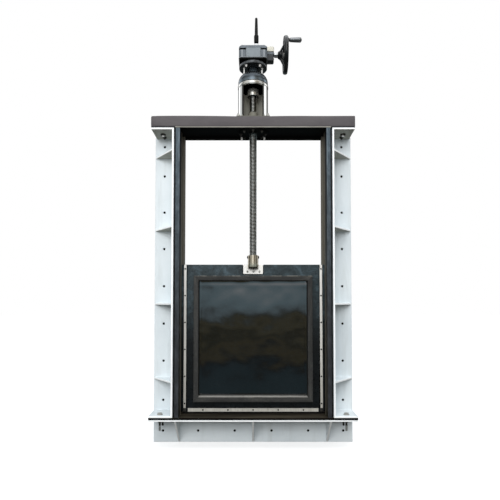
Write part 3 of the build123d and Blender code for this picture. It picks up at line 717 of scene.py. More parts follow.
def arc3(a, b, c, n):
    """Points on the arc through three points."""
    (ax, ay), (bx, by), (cx, cy) = a, b, c
    d = 2 * (ax * (by - cy) + bx * (cy - ay) + cx * (ay - by))
    ux = ((ax**2 + ay**2) * (by - cy) + (bx**2 + by**2) * (cy - ay) + (cx**2 + cy**2) * (ay - by)) / d
    uy = ((ax**2 + ay**2) * (cx - bx) + (bx**2 + by**2) * (ax - cx) + (cx**2 + cy**2) * (bx - ax)) / d
    r = math.hypot(ax - ux, ay - uy)
    t0, t1 = math.atan2(ay - uy, ax - ux), math.atan2(cy - uy, cx - ux)
    return [(ux + r * math.cos(t0 + (t1 - t0) * k / n), uy + r * math.sin(t0 + (t1 - t0) * k / n)) for k in range(n + 1)]


def hex_head(bm, centre, r, h, axis="Z", sign=1, mat=0, washer=0.0):
    """Hexagon head standing on centre, r across the corners / 2, with a chamfered top and a washer."""
    n = 6
    t0 = 0.0
    if washer:
        add_lathe(
            bm,
            [(0, 0), (r * 1.28, 0), (r * 1.30, sign * washer * 0.5), (r * 1.24, sign * washer), (0, sign * washer)],
            centre, axis, 28, mat,
        )
        t0 = sign * washer
    lower = [(r, t0), (r, t0 + sign * h * 0.86)]
    prof = [(0, t0)] + lower + [(r * 0.86, t0 + sign * h), (0, t0 + sign * h)]
    add_lathe(bm, prof, centre, axis, n, mat)


def dome_head(bm, centre, r, h, axis="Y", sign=-1, mat=0, n=20, socket=True):
    prof = [(0, 0), (r, 0), (r * 0.98, sign * h * 0.35), (r * 0.82, sign * h * 0.75), (r * 0.5, sign * h)]
    if socket:
        prof += [(r * 0.46, sign * h), (r * 0.42, sign * h * 0.45), (0, sign * h * 0.45)]
    else:
        prof += [(0, sign * h * 1.02)]
    add_lathe(bm, prof, centre, axis, n, mat)


def rounded_rect(cx, cy, w, h, r, segs=6):
    pts = []
    for sx, sy, a0 in ((1, 1, 0), (-1, 1, 90), (-1, -1, 180), (1, -1, 270)):
        ox, oy = cx + sx * (w / 2 - r), cy + sy * (h / 2 - r)
        for k in range(segs + 1):
            a = math.radians(a0 + 90 * k / segs)
            pts.append((ox + r * math.cos(a), oy + r * math.sin(a)))
    return pts


def boolean(o, other, op="DIFFERENCE"):
    m = o.modifiers.new("bool", "BOOLEAN")
    m.operation = op
    m.object = other
    m.solver = "EXACT"


def raw_obj(name, bm):
    me = bpy.data.meshes.new(name)
    bmesh.ops.recalc_face_normals(bm, faces=bm.faces)
    bm.to_mesh(me)
    bm.free()
    o = bpy.data.objects.new(name, me)
    scene.collection.objects.link(o)
    return o


def baked(o):
    """The object's mesh with its modifiers applied; removes the object."""
    dg = bpy.context.evaluated_depsgraph_get()
    me = bpy.data.meshes.new_from_object(o.evaluated_get(dg))
    bm = bmesh.new()
    bm.from_mesh(me)
    bpy.data.meshes.remove(me)
    old = o.data
    bpy.data.objects.remove(o)
    bpy.data.meshes.remove(old)
    return bm


def union(name, makers, cuts=()):
    """Union of the closed solids that makers add, less those that cuts add, as a bmesh."""
    objs = []
    for k, mk in enumerate(makers):
        bm = bmesh.new()
        mk(bm)
        objs.append(raw_obj(f"{name}_u{k}", bm))
    base = objs[0]
    for o in objs[1:]:
        boolean(base, o, "UNION")
    cutters = []
    for k, mk in enumerate(cuts):
        bm = bmesh.new()
        mk(bm)
        c = raw_obj(f"{name}_c{k}", bm)
        cutters.append(c)
        boolean(base, c, "DIFFERENCE")
    bpy.context.view_layer.update()
    out = baked(base)
    for o in objs[1:] + cutters:
        me = o.data
        bpy.data.objects.remove(o)
        bpy.data.meshes.remove(me)
    bmesh.ops.dissolve_limit(out, angle_limit=math.radians(0.5), verts=out.verts, edges=out.edges)
    return out


# ------------------------------------------------------------------ white frames
WEB, WOUT, T, D = 0.770, 0.788, 0.018, 0.300
FZ, FT = 0.305, 3.105
HALF, PLATE = 1.005, 1.000
def under_faces(bm, index):
    """Give the faces that look down a slot of their own, for the painted shade under things."""
    bmesh.ops.recalc_face_normals(bm, faces=bm.faces)
    bm.normal_update()
    for f in bm.faces:
        if f.normal.z < -0.6 and f.material_index == 0:
            f.material_index = index


HOLES = [0.115, 0.509, 0.885, 1.266, 1.647, 2.022, 2.397, 2.703]
GUSSETS = [0.335, 1.085, 1.835, 2.585]


def holed_plate(bm, u_rng, v_rng, holes, hv, r, y0, y1, flip=False, rr=0.0035, mat=0):
    """Plate in the XZ plane, front at y0, back at y1, one row of round holes at v = hv.

    u runs along Z (or along X when flip is set); the front rim is rounded by rr."""
    c = 0.021
    us = [u_rng[0]] + [q for h in holes for q in (h - c, h + c)] + [u_rng[1]]
    vs = [v_rng[0], hv - c, hv + c, v_rng[1]]
    nu, nv = len(us), len(vs)

    def at(u, v, y):
        return bm.verts.new((u, y, v) if flip else (v, y, u))

    def grid(inset, y):
        g = []
        for i, u in enumerate(us):
            uu = u + inset if i == 0 else u - inset if i == nu - 1 else u
            row = []
            for j, v in enumerate(vs):
                vv = v + inset if j == 0 else v - inset if j == nv - 1 else v
                row.append((uu, vv))
            g.append(row)
        return g

    rim = [(i, 0) for i in range(nu)] + [(nu - 1, j) for j in range(1, nv)]
    rim += [(i, nv - 1) for i in range(nu - 2, -1, -1)] + [(0, j) for j in range(nv - 2, 0, -1)]
    sheets = []
    for inset, y in ((rr, y0), (0.0, y1)):
        g = grid(inset, y)
        sheets.append([[at(u, v, y) for u, v in row] for row in g])
    seg = 24
    walls = []
    for k, sheet in enumerate(sheets):
        y = (y0, y1)[k]
        rings = []
        for i in range(nu - 1):
            for j in range(nv - 1):
                q = (sheet[i][j], sheet[i + 1][j], sheet[i + 1][j + 1], sheet[i][j + 1])
                if j == 1 and i % 2 == 1:
                    hu = (us[i] + us[i + 1]) / 2
                    rad = r + (0.0036 if k == 0 else 0.0)
                    ring = []
                    for a in range(seg):
                        t = math.radians(225) + 2 * math.pi * a / seg
                        ring.append(at(hu + rad * math.cos(t), hv + rad * math.sin(t), y))
                    # q corners lie at 225, 315, 45 and 135 degrees in (u, v)
                    for n_ in range(4):
                        for a in range(-3, 3):
                            x = (n_ * 6 + a) % seg
                            bm.faces.new((q[n_], ring[x], ring[(x + 1) % seg]))
                        x = (n_ * 6 + 3) % seg
                        bm.faces.new((q[n_], ring[x], q[(n_ + 1) % 4]))
                    rings.append((hu, ring))
                else:
                    bm.faces.new(q)
        walls.append(rings)
    for (hu, front), (_, back) in zip(*walls):
        t0 = math.radians(225)
        mid = [at(hu + r * math.cos(t0 + 2 * math.pi * a / seg), hv + r * math.sin(t0 + 2 * math.pi * a / seg), y0 + (y1 - y0) * 0.17) for a in range(seg)]
        for a in range(seg):
            b = (a + 1) % seg
            bm.faces.new((front[a], front[b], mid[b], mid[a]))
            bm.faces.new((mid[a], mid[b], back[b], back[a]))
    sign = 1.0 if y1 > y0 else -1.0
    loops = [[sheets[0][i][j] for i, j in rim]]
    for inset, dy in ((0.29 * rr, 0.29 * rr), (0.0, rr)):
        g = grid(inset, 0)
        loops.append([at(g[i][j][0], g[i][j][1], y0 + sign * dy) for i, j in rim])
    loops.append([sheets[1][i][j] for i, j in rim])
    n = len(rim)
    for a, b in zip(loops, loops[1:]):
        for i in range(n):
            bm.faces.new((a[i], a[(i + 1) % n], b[(i + 1) % n], b[i]))


def cove(bm, axis, p, d, r, a, b):
    """Concave fillet in the inner corner p, opening towards the signs d, from a to b along axis."""
    (px, py), (dx, dy), e = p, d, 0.002
    pts = [(px - dx * e, py - dy * e), (px + dx * r, py - dy * e)]
    for k in range(6):
        t = math.radians(90 * k / 5)
        pts.append((px + dx * (r - r * math.sin(t)), py + dy * (r - r * math.cos(t))))
    pts.append((px - dx * e, py + dy * r))
    add_prism(bm, pts, axis, a, b)


# dark discs set inside the holes: painted shade for the hole's inside
def hole_shade_discs(name, places):
    bm = bmesh.new()
    for x, z in places:
        add_lathe(bm, [(0, -0.0120), (0.0121, -0.0120), (0.0121, -0.0015), (0, -0.0015)], (x, 0, z), "Y", 24)
    obj_from(name, bm, M["hole"], "frame", smooth=30)


def side_frame(side):
    s = side
    name = "right_frame_moulding" if s > 0 else "left_frame_moulding"
    # web, top plate and foot plate in one outline, drawn front to back
    top = 0.990
    c_pts = [(s * x, z) for x, z in (
        (WEB, FZ), (PLATE, FZ), (PLATE, FZ + T), (WOUT, FZ + T), (WOUT, FT - T), (top, FT - T), (top, FT), (WEB, FT),
    )]
    bm = bmesh.new()
    # the front face takes slot 1, the painted highlight of the front edges
    add_prism(bm, c_pts, "Y", -D, -T + 0.003)[0].material_index = 1
    for h in GUSSETS:
        # the gusset's sloping free edge takes slot 1, the painted highlight
        add_prism(
            bm,
            [(s * (WOUT - 0.006), -T + 0.006), (s * (HALF - 0.004), -T + 0.006), (s * (HALF - 0.004), -T - 0.001), (s * (WOUT + 0.002), -D + 0.006), (s * (WOUT - 0.006), -D + 0.006)],
            "Z", FZ + h - 0.009, FZ + h + 0.009,
        )[4].material_index = 1
    under_faces(bm, 2)
    obj_from(
        name, bm, [M["white"], M["edge_painted_highlight"], M["under"]], "frame",
        "right_side_frame" if s > 0 else "left_side_frame", bevel=0.0035, segs=3,
    )
    bm = bmesh.new()
    v = (WEB + 0.0004, HALF) if s > 0 else (-HALF, -WEB - 0.0004)
    holed_plate(bm, (FZ + 0.0003, FT - 0.0003), v, [FZ + h for h in HOLES], s * 0.910, 0.012, -T, 0.0)
    levels = [FZ + T] + [q for h in GUSSETS for q in (FZ + h - 0.009, FZ + h + 0.009)] + [FT - T]
    for z0, z1 in zip(levels[::2], levels[1::2]):
        cove(bm, "Z", (s * WOUT, -T), (s, -1), 0.006, z0 + 0.0002, z1 - 0.0002)
    for z, d in zip(levels, [1, -1] * 5):
        cove(bm, "X", (-T, z), (-1, d), 0.005, s * (WOUT + 0.0002), s * (top - 0.004))
    obj_from(name + "_wall_flange", bm, M["white"], "frame", smooth=40)
    hole_shade_discs(name + "_hole_painted_shade", [(s * 0.910, FZ + h) for h in HOLES])


side_frame(1)
side_frame(-1)


def bottom_beam():
    H = 0.288
    bm = bmesh.new()
    # the plate's front face takes slot 1, the painted highlight
    add_box(bm, (-PLATE, -D, H - T), (PLATE, -T + 0.003, H))[1][2].material_index = 1
    for x in (-0.745, 0.0, 0.745):
        # each rib's sloping free edge takes slot 1, the painted highlight
        add_prism(
            bm,
            [(-T + 0.006, 0.004), (-T + 0.006, H - T + 0.006), (-D + 0.006, H - T + 0.006), (-D + 0.006, H - T - 0.002), (-T - 0.001, 0.004)],
            "X", x - 0.009, x + 0.009,
        )[5].material_index = 1
    under_faces(bm, 2)
    # dark joint line under the sill strip
    add_box(bm, (-PLATE + 0.0005, -D - 0.0004, H - 0.0045), (PLATE - 0.0005, -D + 0.004, H - 0.0002), 3)
    obj_from("bottom_beam_moulding", bm, [M["white"], M["edge_painted_highlight"], M["under"], M["seam"]], "frame", "bottom_beam", bevel=0.0035, segs=3)
    bm = bmesh.new()
    xs = [-0.910, -0.556, -0.186, 0.186, 0.556, 0.910]
    holed_plate(bm, (-HALF, HALF), (0.0, H - 0.0003), xs, 0.112, 0.012, -T, 0.0, flip=True)
    stops = [-PLATE + 0.004]
    for x in (-0.745, 0.0, 0.745):
        stops += [x - 0.009, x + 0.009]
        for d in (-1, 1):
            cove(bm, "Z", (x + d * 0.009, -T), (d, -1), 0.005, 0.010, H - T)
    stops.append(PLATE - 0.004)
    for a, b in zip(stops[::2], stops[1::2]):
        cove(bm, "X", (-T, H - T), (-1, -1), 0.006, a + 0.0002, b - 0.0002)
    obj_from("bottom_beam_back", bm, M["white"], "frame", smooth=40)
    hole_shade_discs("bottom_beam_hole_painted_shade", [(x, 0.112) for x in xs])


bottom_beam()


# ------------------------------------------------------------------ sill and rails
def sill():
    bm = bmesh.new()
    add_box(bm, (-PLATE, -D, 0.288), (PLATE, 0, 0.305))
    return obj_from("sill_board", bm, M["sill"], "frame", "sill_plate", bevel=0.002, segs=2)


sill()


def rail(s):
    name = "right_rail_bar" if s > 0 else "left_rail_bar"
    pts = [
        (0.711, -0.300), (0.752, -0.300), (0.752, -0.260), (0.770, -0.260), (0.770, 0.0), (0.697, 0.0),
        (0.697, -0.052), (0.745, -0.052), (0.745, -0.138), (0.711, -0.138),
    ]
    bm = bmesh.new()
    steps = 28
    rings = []
    for k in range(steps + 1):
        z = FZ + (FT - FZ) * k / steps
        wob = 0.0008 * math.sin(k * 1.7 + s) + 0.0006 * math.sin(k * 0.63)
        ring = []
        for i, (x, y) in enumerate(pts):
            dx = wob if (i in (0, 9) and 0 < k < steps) else 0.0
            ring.append(bm.verts.new((s * (x + max(dx, 0.0)), y, z)))
        rings.append(ring)
    n = len(pts)
    bm.faces.new(rings[0])
    bm.faces.new(list(reversed(rings[-1])))
    for a, b in zip(rings, rings[1:]):
        for i in range(n):
            f = bm.faces.new((a[i], a[(i + 1) % n], b[(i + 1) % n], b[i]))
            f.material_index = 0 if i == 0 else 2 if i in (1, 2) else 1
    return obj_from(
        name, bm, [M["rail"], M["rail_inner"], M["mast"]], "frame",
        "right_guide_rail" if s > 0 else "left_guide_rail", bevel=0.003, segs=3,
    )


rail(1)
rail(-1)


# ------------------------------------------------------------------ top beam
def top_beam():
    bm = bmesh.new()
    z0, z1 = 3.117, 3.223
    half = 0.993
    steps = 60
    prof = rounded_rect(-0.150, (z0 + z1) / 2, 0.300, z1 - z0, 0.007, 3)
    rings = []
    for k in range(steps + 1):
        x = -half + 2 * half * k / steps
        sag = 0.0030 * noise.noise(Vector((x * 2.2, 3.1, 0.0))) - 0.0012
        inset = 0.004 if k in (0, steps) else 0.0
        ring = []
        for y, z in prof:
            top = z > (z0 + z1) / 2
            zz = z + (min(sag, 0.0) - 0.0004 if top else 0.0)
            yy = -0.150 + (y + 0.150) * (1 - inset / 0.15)
            zc = (z0 + z1) / 2
            zz = zc + (zz - zc) * (1 - inset / 0.05)
            if top and y < -0.29:
                # the front top edge is worn down beside the pedestal and at the left corner
                zz -= 0.0055 * math.exp(-((x / 0.26) ** 2)) + 0.008 * math.exp(-(((x + half) / 0.030) ** 2))
            ring.append(bm.verts.new((x, yy, zz)))
        rings.append(ring)
    n = len(prof)
    # pull the second ring close to the end so that the rounding is tight
    for v in rings[1]:
        v.co.x = -half + 0.005
    for v in rings[-2]:
        v.co.x = half - 0.005
    bm.faces.new(rings[0])
    bm.faces.new(list(reversed(rings[-1])))
    for a, b in zip(rings, rings[1:]):
        for i in range(n):
            bm.faces.new((a[i], a[(i + 1) % n], b[(i + 1) % n], b[i]))
    beam = obj_from(
        "top_beam_body", bm, M["beam"], "frame", ["top_beam", "left_beam_cap", "right_beam_cap"], smooth=40
    )
    bm = bmesh.new()
    add_box(bm, (-0.991, -D, 3.1052), (0.991, 0, 3.117), 0)
    for f in bm.faces:
        c = f.calc_center_median()
        if c.z < 3.1054:
            f.material_index = 1
    # one part between the rails lighter, the ends darker; the underside takes the black slot, a painted shade
    plate = obj_from("beam_foot_plate", bm, [M["beam_edge"], M["black"]], "frame", "top_beam_flange", bevel=0.0012, segs=2)
    return beam, plate


top_beam()


# ------------------------------------------------------------------ pedestal
def pedestal():
    bm = bmesh.new()
    add_prism(bm, rounded_rect(0, STEM_Y, 0.340, 0.250, 0.040, 8), "Z", 3.223, 3.233)
    base = obj_from("pedestal_foot", bm, M["base"], "frame", "pedestal_base", bevel=0.002, segs=2)

    # pipe with a window
    n, R, r = 144, 0.149, 0.139
    bm = bmesh.new()
    half = math.asin(0.097 / R)
    # angles measured from -Y, so that the window is centred
    outline = []
    cut = [-half, half]
    angs = sorted(set([-math.pi + 2 * math.pi * k / n for k in range(n)] + cut))
    angs = [a for a in angs if min(abs(a - c) for c in cut) > 0.012 or a in cut]
    rows = {}
    levels = [3.2331, 3.5430, 3.5447]
    for rad, key in ((R, "o"), (r, "i")):
        for li, zz in enumerate(levels):
            rows[key, li] = [bm.verts.new((rad * math.sin(a), STEM_Y - rad * math.cos(a), zz)) for a in angs]
    m = len(angs)
    inside = lambda a, b: (a >= -half - 1e-9 and b <= half + 1e-9 and b > a)
    for i in range(m):
        j = (i + 1) % m
        win = inside(angs[i], angs[j])
        low = 1 if win else 0
        for lo, hi in ((0, 1), (1, 2)):
            if lo == 0 and win:
                continue
            bm.faces.new((rows["o", lo][i], rows["o", lo][j], rows["o", hi][j], rows["o", hi][i]))
            bm.faces.new((rows["i", lo][j], rows["i", lo][i], rows["i", hi][i], rows["i", hi][j])).material_index = 1
        bm.faces.new((rows["o", low][j], rows["o", low][i], rows["i", low][i], rows["i", low][j]))
        bm.faces.new((rows["o", 2][i], rows["o", 2][j], rows["i", 2][j], rows["i", 2][i]))
    for a in cut:
        i = angs.index(a)
        bm.faces.new((rows["o", 0][i], rows["i", 0][i], rows["i", 1][i], rows["o", 1][i]))
    pipe = obj_from("pedestal_tube", bm, [M["polished"], M["pipe_inner"]], "frame", "pedestal_pipe", smooth=50)

    bm = bmesh.new()
    add_tube_lathe(
        bm,
        [(0.050, 3.545), (0.149, 3.545), (0.1505, 3.5460), (0.1515, 3.5485), (0.152, 3.5500), (0.152, 3.5725), (0.1510, 3.5745), (0.1478, 3.5750), (0.1478, 3.5798), (0.050, 3.580)],
        (0, STEM_Y, 0), "Z", 128,
    )
    # the ring's underside and its top step take the near-black slot: painted shade
    for f in bm.faces:
        c = f.calc_center_median()
        if c.z < 3.5480 or c.z > 3.5749:
            f.material_index = 1
    flange = obj_from("pedestal_ring", bm, [M["rim"], M["seam"]], "frame", "pedestal_flange", smooth=28)

    bm = bmesh.new()
    add_tube_lathe(
        bm,
        [(0.0405, 3.233), (0.054, 3.233), (0.054, 3.268), (0.0525, 3.2735), (0.0455, 3.303), (0.044, 3.305), (0.0405, 3.305)],
        (0, STEM_Y, 0), "Z", 64,
    )
    guide = obj_from("stem_bush", bm, M["bush"], "frame", "stem_guide", smooth=28)

    bm = bmesh.new()
    prof = [(0.050, 3.580), (0.1465, 3.580), (0.148, 3.5815), (0.148, 3.6060)]
    prof += arc3((0.148, 3.607), (0.137, 3.650), (0.100, 3.687), 20)
    prof += [(0.0985, 3.6890), (0.096, 3.690), (0.050, 3.690)]
    add_tube_lathe(bm, prof, (0, STEM_Y, 0), "Z", 128)
    adapter = obj_from("adapter_shoulder", bm, M["adapter"], "frame", "adapter_housing", smooth=24)
    return pipe


pedestal()


# ------------------------------------------------------------------ gearbox
def gearbox():
    bm = bmesh.new()
    add_tube_lathe(
        bm,
        [(0.055, 3.755), (0.1365, 3.755), (0.139, 3.756), (0.140, 3.7585), (0.140, 3.7765), (0.139, 3.779), (0.1365, 3.780), (0.124, 3.7805), (0.122, 3.783), (0.122, 3.796), (0.055, 3.796)],
        (0, STEM_Y, 0), "Z", 128,
    )
    obj_from("gearbox_foot_flange", bm, M["flange"], "frame", "gearbox_flange", smooth=28)

    hx, hy = 0.140, 0.138
    bm = bmesh.new()
    add_prism(bm, rounded_rect(0, STEM_Y, 2 * hx + 0.004, 2 * hy + 0.004, 0.028, 8), "Z", 3.8065, 3.813, 1)
    # the recessed bands under the lip and under the lid take the black slot: painted shade
    add_prism(bm, rounded_rect(0, STEM_Y, 2 * hx - 0.010, 2 * hy - 0.010, 0.030, 8), "Z", 3.796, 3.8064, 2)
    add_prism(bm, rounded_rect(0, STEM_Y, 2 * hx, 2 * hy, 0.026, 8), "Z", 3.8131, 3.885, 0)
    add_prism(bm, rounded_rect(0, STEM_Y, 2 * hx - 0.016, 2 * hy - 0.016, 0.020, 8), "Z", 3.8851, 3.8999, 2)
    obj_from("gearbox_case", bm, [M["gear"], M["lip"], M["black"]], "frame", "gearbox_body", bevel=0.0025, segs=3)

    # domed cover
    bm = bmesh.new()
    layers = [(0.0, 3.9000), (0.0, 3.914), (0.002, 3.922), (0.007, 3.930), (0.015, 3.9365), (0.028, 3.941), (0.050, 3.944), (0.085, 3.945)]
    rings = []
    for inset, z in layers:
        rr = max(0.026, 0.026 + inset * 0.2)
        rings.append([bm.verts.new((x, y, z)) for x, y in rounded_rect(0, STEM_Y, 2 * (hx - inset), 2 * (hy - inset), rr, 8)])
    # the stem's bore, its points in line with those of the outline
    for z in (3.945, 3.900):
        turn = [math.atan2(v.co.y - STEM_Y, v.co.x) for v in rings[7]]
        rings.append([bm.verts.new((0.039 * math.cos(t), STEM_Y + 0.039 * math.sin(t), z)) for t in turn])
    n = len(rings[0])
    for a, b in zip(rings, rings[1:] + rings[:1]):
        for i in range(n):
            bm.faces.new((a[i], a[(i + 1) % n], b[(i + 1) % n], b[i]))
    obj_from("gearbox_lid", bm, M["gear"], "frame", "gearbox_cover", smooth=40)
    bm = bmesh.new()
    add_tube_lathe(bm, [(0.039, 3.9430), (0.048, 3.9430), (0.048, 3.957), (0.0465, 3.959), (0.039, 3.959)], (0, STEM_Y, 0), "Z", 64)
    obj_from("lid_collar", bm, M["steel"], "frame", smooth=28)

    bm = bmesh.new()
    # a black sheet a little larger than the plate, behind it: a painted shadow round the plate
    add_prism(bm, rounded_rect(0.002, 3.8575, 0.148, 0.089, 0.004, 4), "Y", -0.2888, -0.288, 1)
    add_prism(bm, rounded_rect(0.002, 3.8575, 0.142, 0.088, 0.004, 4), "Y", -0.290, -0.2887)
    obj_from("blank_plate", bm, [M["plate"], M["seam"]], "frame", "name_plate", bevel=0.0006, segs=2)


gearbox()


def pinion():
    x0, x1 = 0.142, 0.209
    y0, y1 = -0.192, -0.108

    def outline(inset=0.0):
        r = 0.012
        pts = [(x0, y0 + inset), ]
        for k in range(7):
            a = math.radians(-90 + 90 * k / 6)
            pts.append((x1 - inset - r + r * math.cos(a), y0 + inset + r + r * math.sin(a)))
        for k in range(7):
            a = math.radians(90 * k / 6)
            pts.append((x1 - inset - r + r * math.cos(a), y1 - inset - r + r * math.sin(a)))
        pts.append((x0, y1 - inset))
        return pts

    def stack(layers, mats, name, nodes):
        bm = bmesh.new()
        rings = [[bm.verts.new((x, y, z)) for x, y in outline(i)] for i, z, _ in layers]
        n = len(rings[0])
        bm.faces.new(rings[0])
        bm.faces.new(list(reversed(rings[-1])))
        for (a, b, l) in zip(rings, rings[1:], layers):
            for i in range(n):
                f = bm.faces.new((a[i], a[(i + 1) % n], b[(i + 1) % n], b[i]))
                f.material_index = l[2]
        return obj_from(name, bm, mats, "frame", nodes, smooth=30)

    stack(
        [(0.009, 3.824, 0), (0.004, 3.826, 0), (0.0015, 3.830, 0), (0.0015, 3.884, 0), (0.0035, 3.8855, 0), (0.0035, 3.888, 1), (0.0, 3.8895, 1), (0.0, 3.914, 1), (0.003, 3.9155, 0), (0.004, 3.9165, 0), (0.004, 3.9195, 0)],
        [M["gear_dark"], M["gear"]], "pinion_case", "pinion_housing",
    )
    stack(
        [(0.0012, 3.9200, 0), (0.0, 3.9218, 0), (0.0, 3.964, 0), (0.0015, 3.968, 0), (0.005, 3.971, 0), (0.010, 3.972, 0)],
        [M["ivory"]], "pinion_lid", "pinion_cap",
    )


pinion()


# ------------------------------------------------------------------ mast
def mast():
    o = (0.032, STEM_Y - 0.072, 0)
    bm = bmesh.new()
    add_lathe(bm, round_profile([(0, 3.943), (0.0268, 3.943), (0.0260, 3.951), (0.0205, 3.967), (0.012, 3.986), (0, 3.986)], 0.0015), o, "Z", 48)
    obj_from("mast_cone", bm, M["chrome"], "frame", "mast_base", smooth=40)
    bm = bmesh.new()
    prof = [(0, 3.986), (0.0205, 3.986), (0.0226, 3.990)]
    for k in range(9):
        z = 3.993 + k * 0.0068
        prof += [(0.0230, z), (0.0230, z + 0.0046), (0.0222, z + 0.0054), (0.0222, z + 0.0062)]
    prof += [(0.0229, 4.0545), (0.0225, 4.057), (0.0175, 4.066), (0, 4.066)]
    add_lathe(bm, prof, o, "Z", 48)
    obj_from("mast_socket", bm, M["mast"], "frame", "mast_sleeve", smooth=40)
    bm = bmesh.new()
    prof = [(0, 4.0655), (0.0165, 4.0655), (0.0162, 4.090), (0.0158, 4.120), (0.0150, 4.140), (0.0138, 4.190), (0.0128, 4.225), (0.0122, 4.232), (0.0105, 4.237), (0.006, 4.2396), (0, 4.240)]
    add_lathe(bm, prof, o, "Z", 48)
    obj_from("mast_whip", bm, M["mast"], "frame", "mast_rod", smooth=50)


mast()


# ------------------------------------------------------------------ studs, bolts, nuts on the drive
def drive_hardware():
    bm = bmesh.new()
    for sx in (-1, 1):
        for sy in (-1, 1):
            c = (sx * 0.090, STEM_Y + sy * 0.022, 0)
            add_lathe(bm, [(0, 3.612), (0.006, 3.612), (0.006, 3.755), (0, 3.755)], c, "Z", 20)
            hex_head(bm, (c[0], c[1], 3.755), 0.0085, 0.007, "Z", -1, 0, 0.002)
            hex_head(bm, (c[0], c[1], 3.690), 0.0085, 0.007, "Z", 1, 0, 0.002)
    obj_from("yoke_studs", bm, M["bolt_end"], "frame", "adapter_studs", smooth=40)
    # bolts under the gearbox flange
    bm = bmesh.new()
    for sx in (-1, 1):
        for sy in (-1, 1):
            c = (sx * 0.067, STEM_Y + sy * 0.088, 3.755)
            hex_head(bm, c, 0.0105, 0.010, "Z", -1, 0, 0.002)
            add_lathe(bm, [(0, 0), (0.0058, 0), (0.0058, -0.017), (0.0045, -0.019), (0, -0.019)], c, "Z", 14)
    obj_from("flange_bolts", bm, M["bolt_end"], "frame", smooth=40)
    # pedestal feet nuts and bolt ends
    bm = bmesh.new()
    for sx in (-1, 1):
        for y in (STEM_Y - 0.098, STEM_Y + 0.098):
            c = (sx * 0.146, y, 3.233)
            hex_head(bm, c, 0.0165, 0.016, "Z", 1, 0, 0.003)
            add_lathe(bm, [(0, 0.012), (0.009, 0.012), (0.009, 0.030), (0.0075, 0.033), (0, 0.033)], c, "Z", 16)
    obj_from("pedestal_nuts", bm, M["bolt"], "frame", smooth=40)
    # under the beam: ring of nuts and two long bolt ends
    bm = bmesh.new()
    for k in range(8):
        a = math.radians(45 * k)
        c = (0.122 * math.cos(a), STEM_Y + 0.122 * math.sin(a), 3.095)
        hex_head(bm, c, 0.0125, 0.011, "Z", -1, 0, 0.002)
        add_lathe(bm, [(0, 0), (0.007, 0), (0.007, -0.018), (0.006, -0.020), (0, -0.020)], c, "Z", 16)
    for sx in (-1, 1):
        c = (sx * 0.1155, -0.060, 3.095)
        add_lathe(bm, [(0, 0.002), (0.010, 0.002), (0.010, -0.028), (0.0085, -0.031), (0, -0.031)], c, "Z", 18, 1)
    obj_from("beam_bolts", bm, [M["bolt_dark"], M["bolt_end"]], "frame", smooth=40)
    # lid screws and plate rivets
    bm = bmesh.new()
    for sx in (-1, 1):
        for sy in (-1, 1):
            dome_head(bm, (sx * 0.108, STEM_Y + sy * 0.106, 3.9400), 0.0085, 0.007, "Z", 1)
    for sx in (-1, 1):
        for z in (3.820, 3.895):
            dome_head(bm, (0.002 + sx * 0.068, -0.2898, z), 0.0028, 0.0018, "Y", -1, 0, 14, False)
    obj_from("lid_screws", bm, M["bolt"], "frame", smooth=40)
    bm = bmesh.new()
    for sy in (-1, 1):
        for z in (3.950, 3.900, 3.846):
            dome_head(bm, (0.2075, STEM_Y + sy * 0.027, z), 0.0045, 0.0035, "X", 1)
    obj_from("pinion_screws", bm, M["bolt"], "frame", smooth=40)
    # round black backing plate
    bm = bmesh.new()
    arc = math.asin(0.120 / 0.147)
    outer = []
    for k in range(73):
        a = math.pi / 2 + (math.pi / 2 - arc) + (2 * math.pi - 2 * (math.pi / 2 - arc)) * k / 72
        outer.append((0.147 * math.cos(a), STEM_Y + 0.147 * math.sin(a)))
    add_prism(bm, outer, "Z", 3.095, 3.1048)
    obj_from("beam_under_plate", bm, M["black"], "frame", "under_beam_plate", bevel=0.0015, segs=2)
    bm = bmesh.new()
    add_box(bm, (-0.6965, -0.030, 3.083), (0.6965, 0, 3.105))
    obj_from("closing_bar", bm, M["black"], "frame", "top_back_bar", bevel=0.002, segs=2)


drive_hardware()


# ------------------------------------------------------------------ frame bolts
def frame_bolts():
    bm = bmesh.new()
    for sx in (-1, 1):
        x = sx * 0.900
        for y, r1, r2, hn in ((-0.163, 0.0275, 0.0135, 0.011), (-0.086, 0.0215, 0.0112, 0.010)):
            # through the top plate: washer, nut and the bolt's domed end below; the front bolt's near-white dome is a
            # painted glint
            add_lathe(bm, [(0, 0), (r1, 0), (r1, -0.004), (0, -0.004)], (x, y, FT - T), "Z", 28)
            hex_head(bm, (x, y, FT - T - 0.004), r1 * 0.86, hn, "Z", -1, 0, 0)
            add_lathe(bm, [(0, -0.012), (r2, -0.012), (r2, -0.018), (r2 * 0.9, -0.0225), (r2 * 0.55, -0.0255), (0, -0.0262)], (x, y, FT - T), "Z", 20, 1 if r1 > 0.025 else 0)
        hex_head(bm, (x, -0.235, FZ + T), 0.0230, 0.015, "Z", 1, 2, 0.004)
        add_lathe(bm, [(0, 0), (0.018, 0), (0.018, 0.0015), (0.0165, 0.0025), (0, 0.0025)], (x, -0.090, FZ + T), "Z", 28, 3)
        for y, drop in ((-0.235, 0.100), (-0.090, 0.088)):
            hex_head(bm, (x, y, 0.270), 0.0205, 0.014, "Z", -1, 0, 0.004)
            add_lathe(bm, [(0, 0), (0.0102, 0), (0.0102, -0.050), (0, -0.050)], (x, y, 0.270), "Z", 18, 0)
            add_lathe(bm, [(0, -0.050), (0.0102, -0.050), (0.0102, -drop + 0.004), (0.0088, -drop), (0, -drop)], (x, y, 0.270), "Z", 18, 0 if y > -0.1 else 2)
    return obj_from("frame_bolts", bm, [M["bolt_dark"], M["bolt_end"], M["bolt"], M["white"]], "frame", smooth=40)


frame_bolts()


# ------------------------------------------------------------------ leaf
LF, LB = -0.130, -0.060
LZ0, LZ1 = 0.328, 1.783


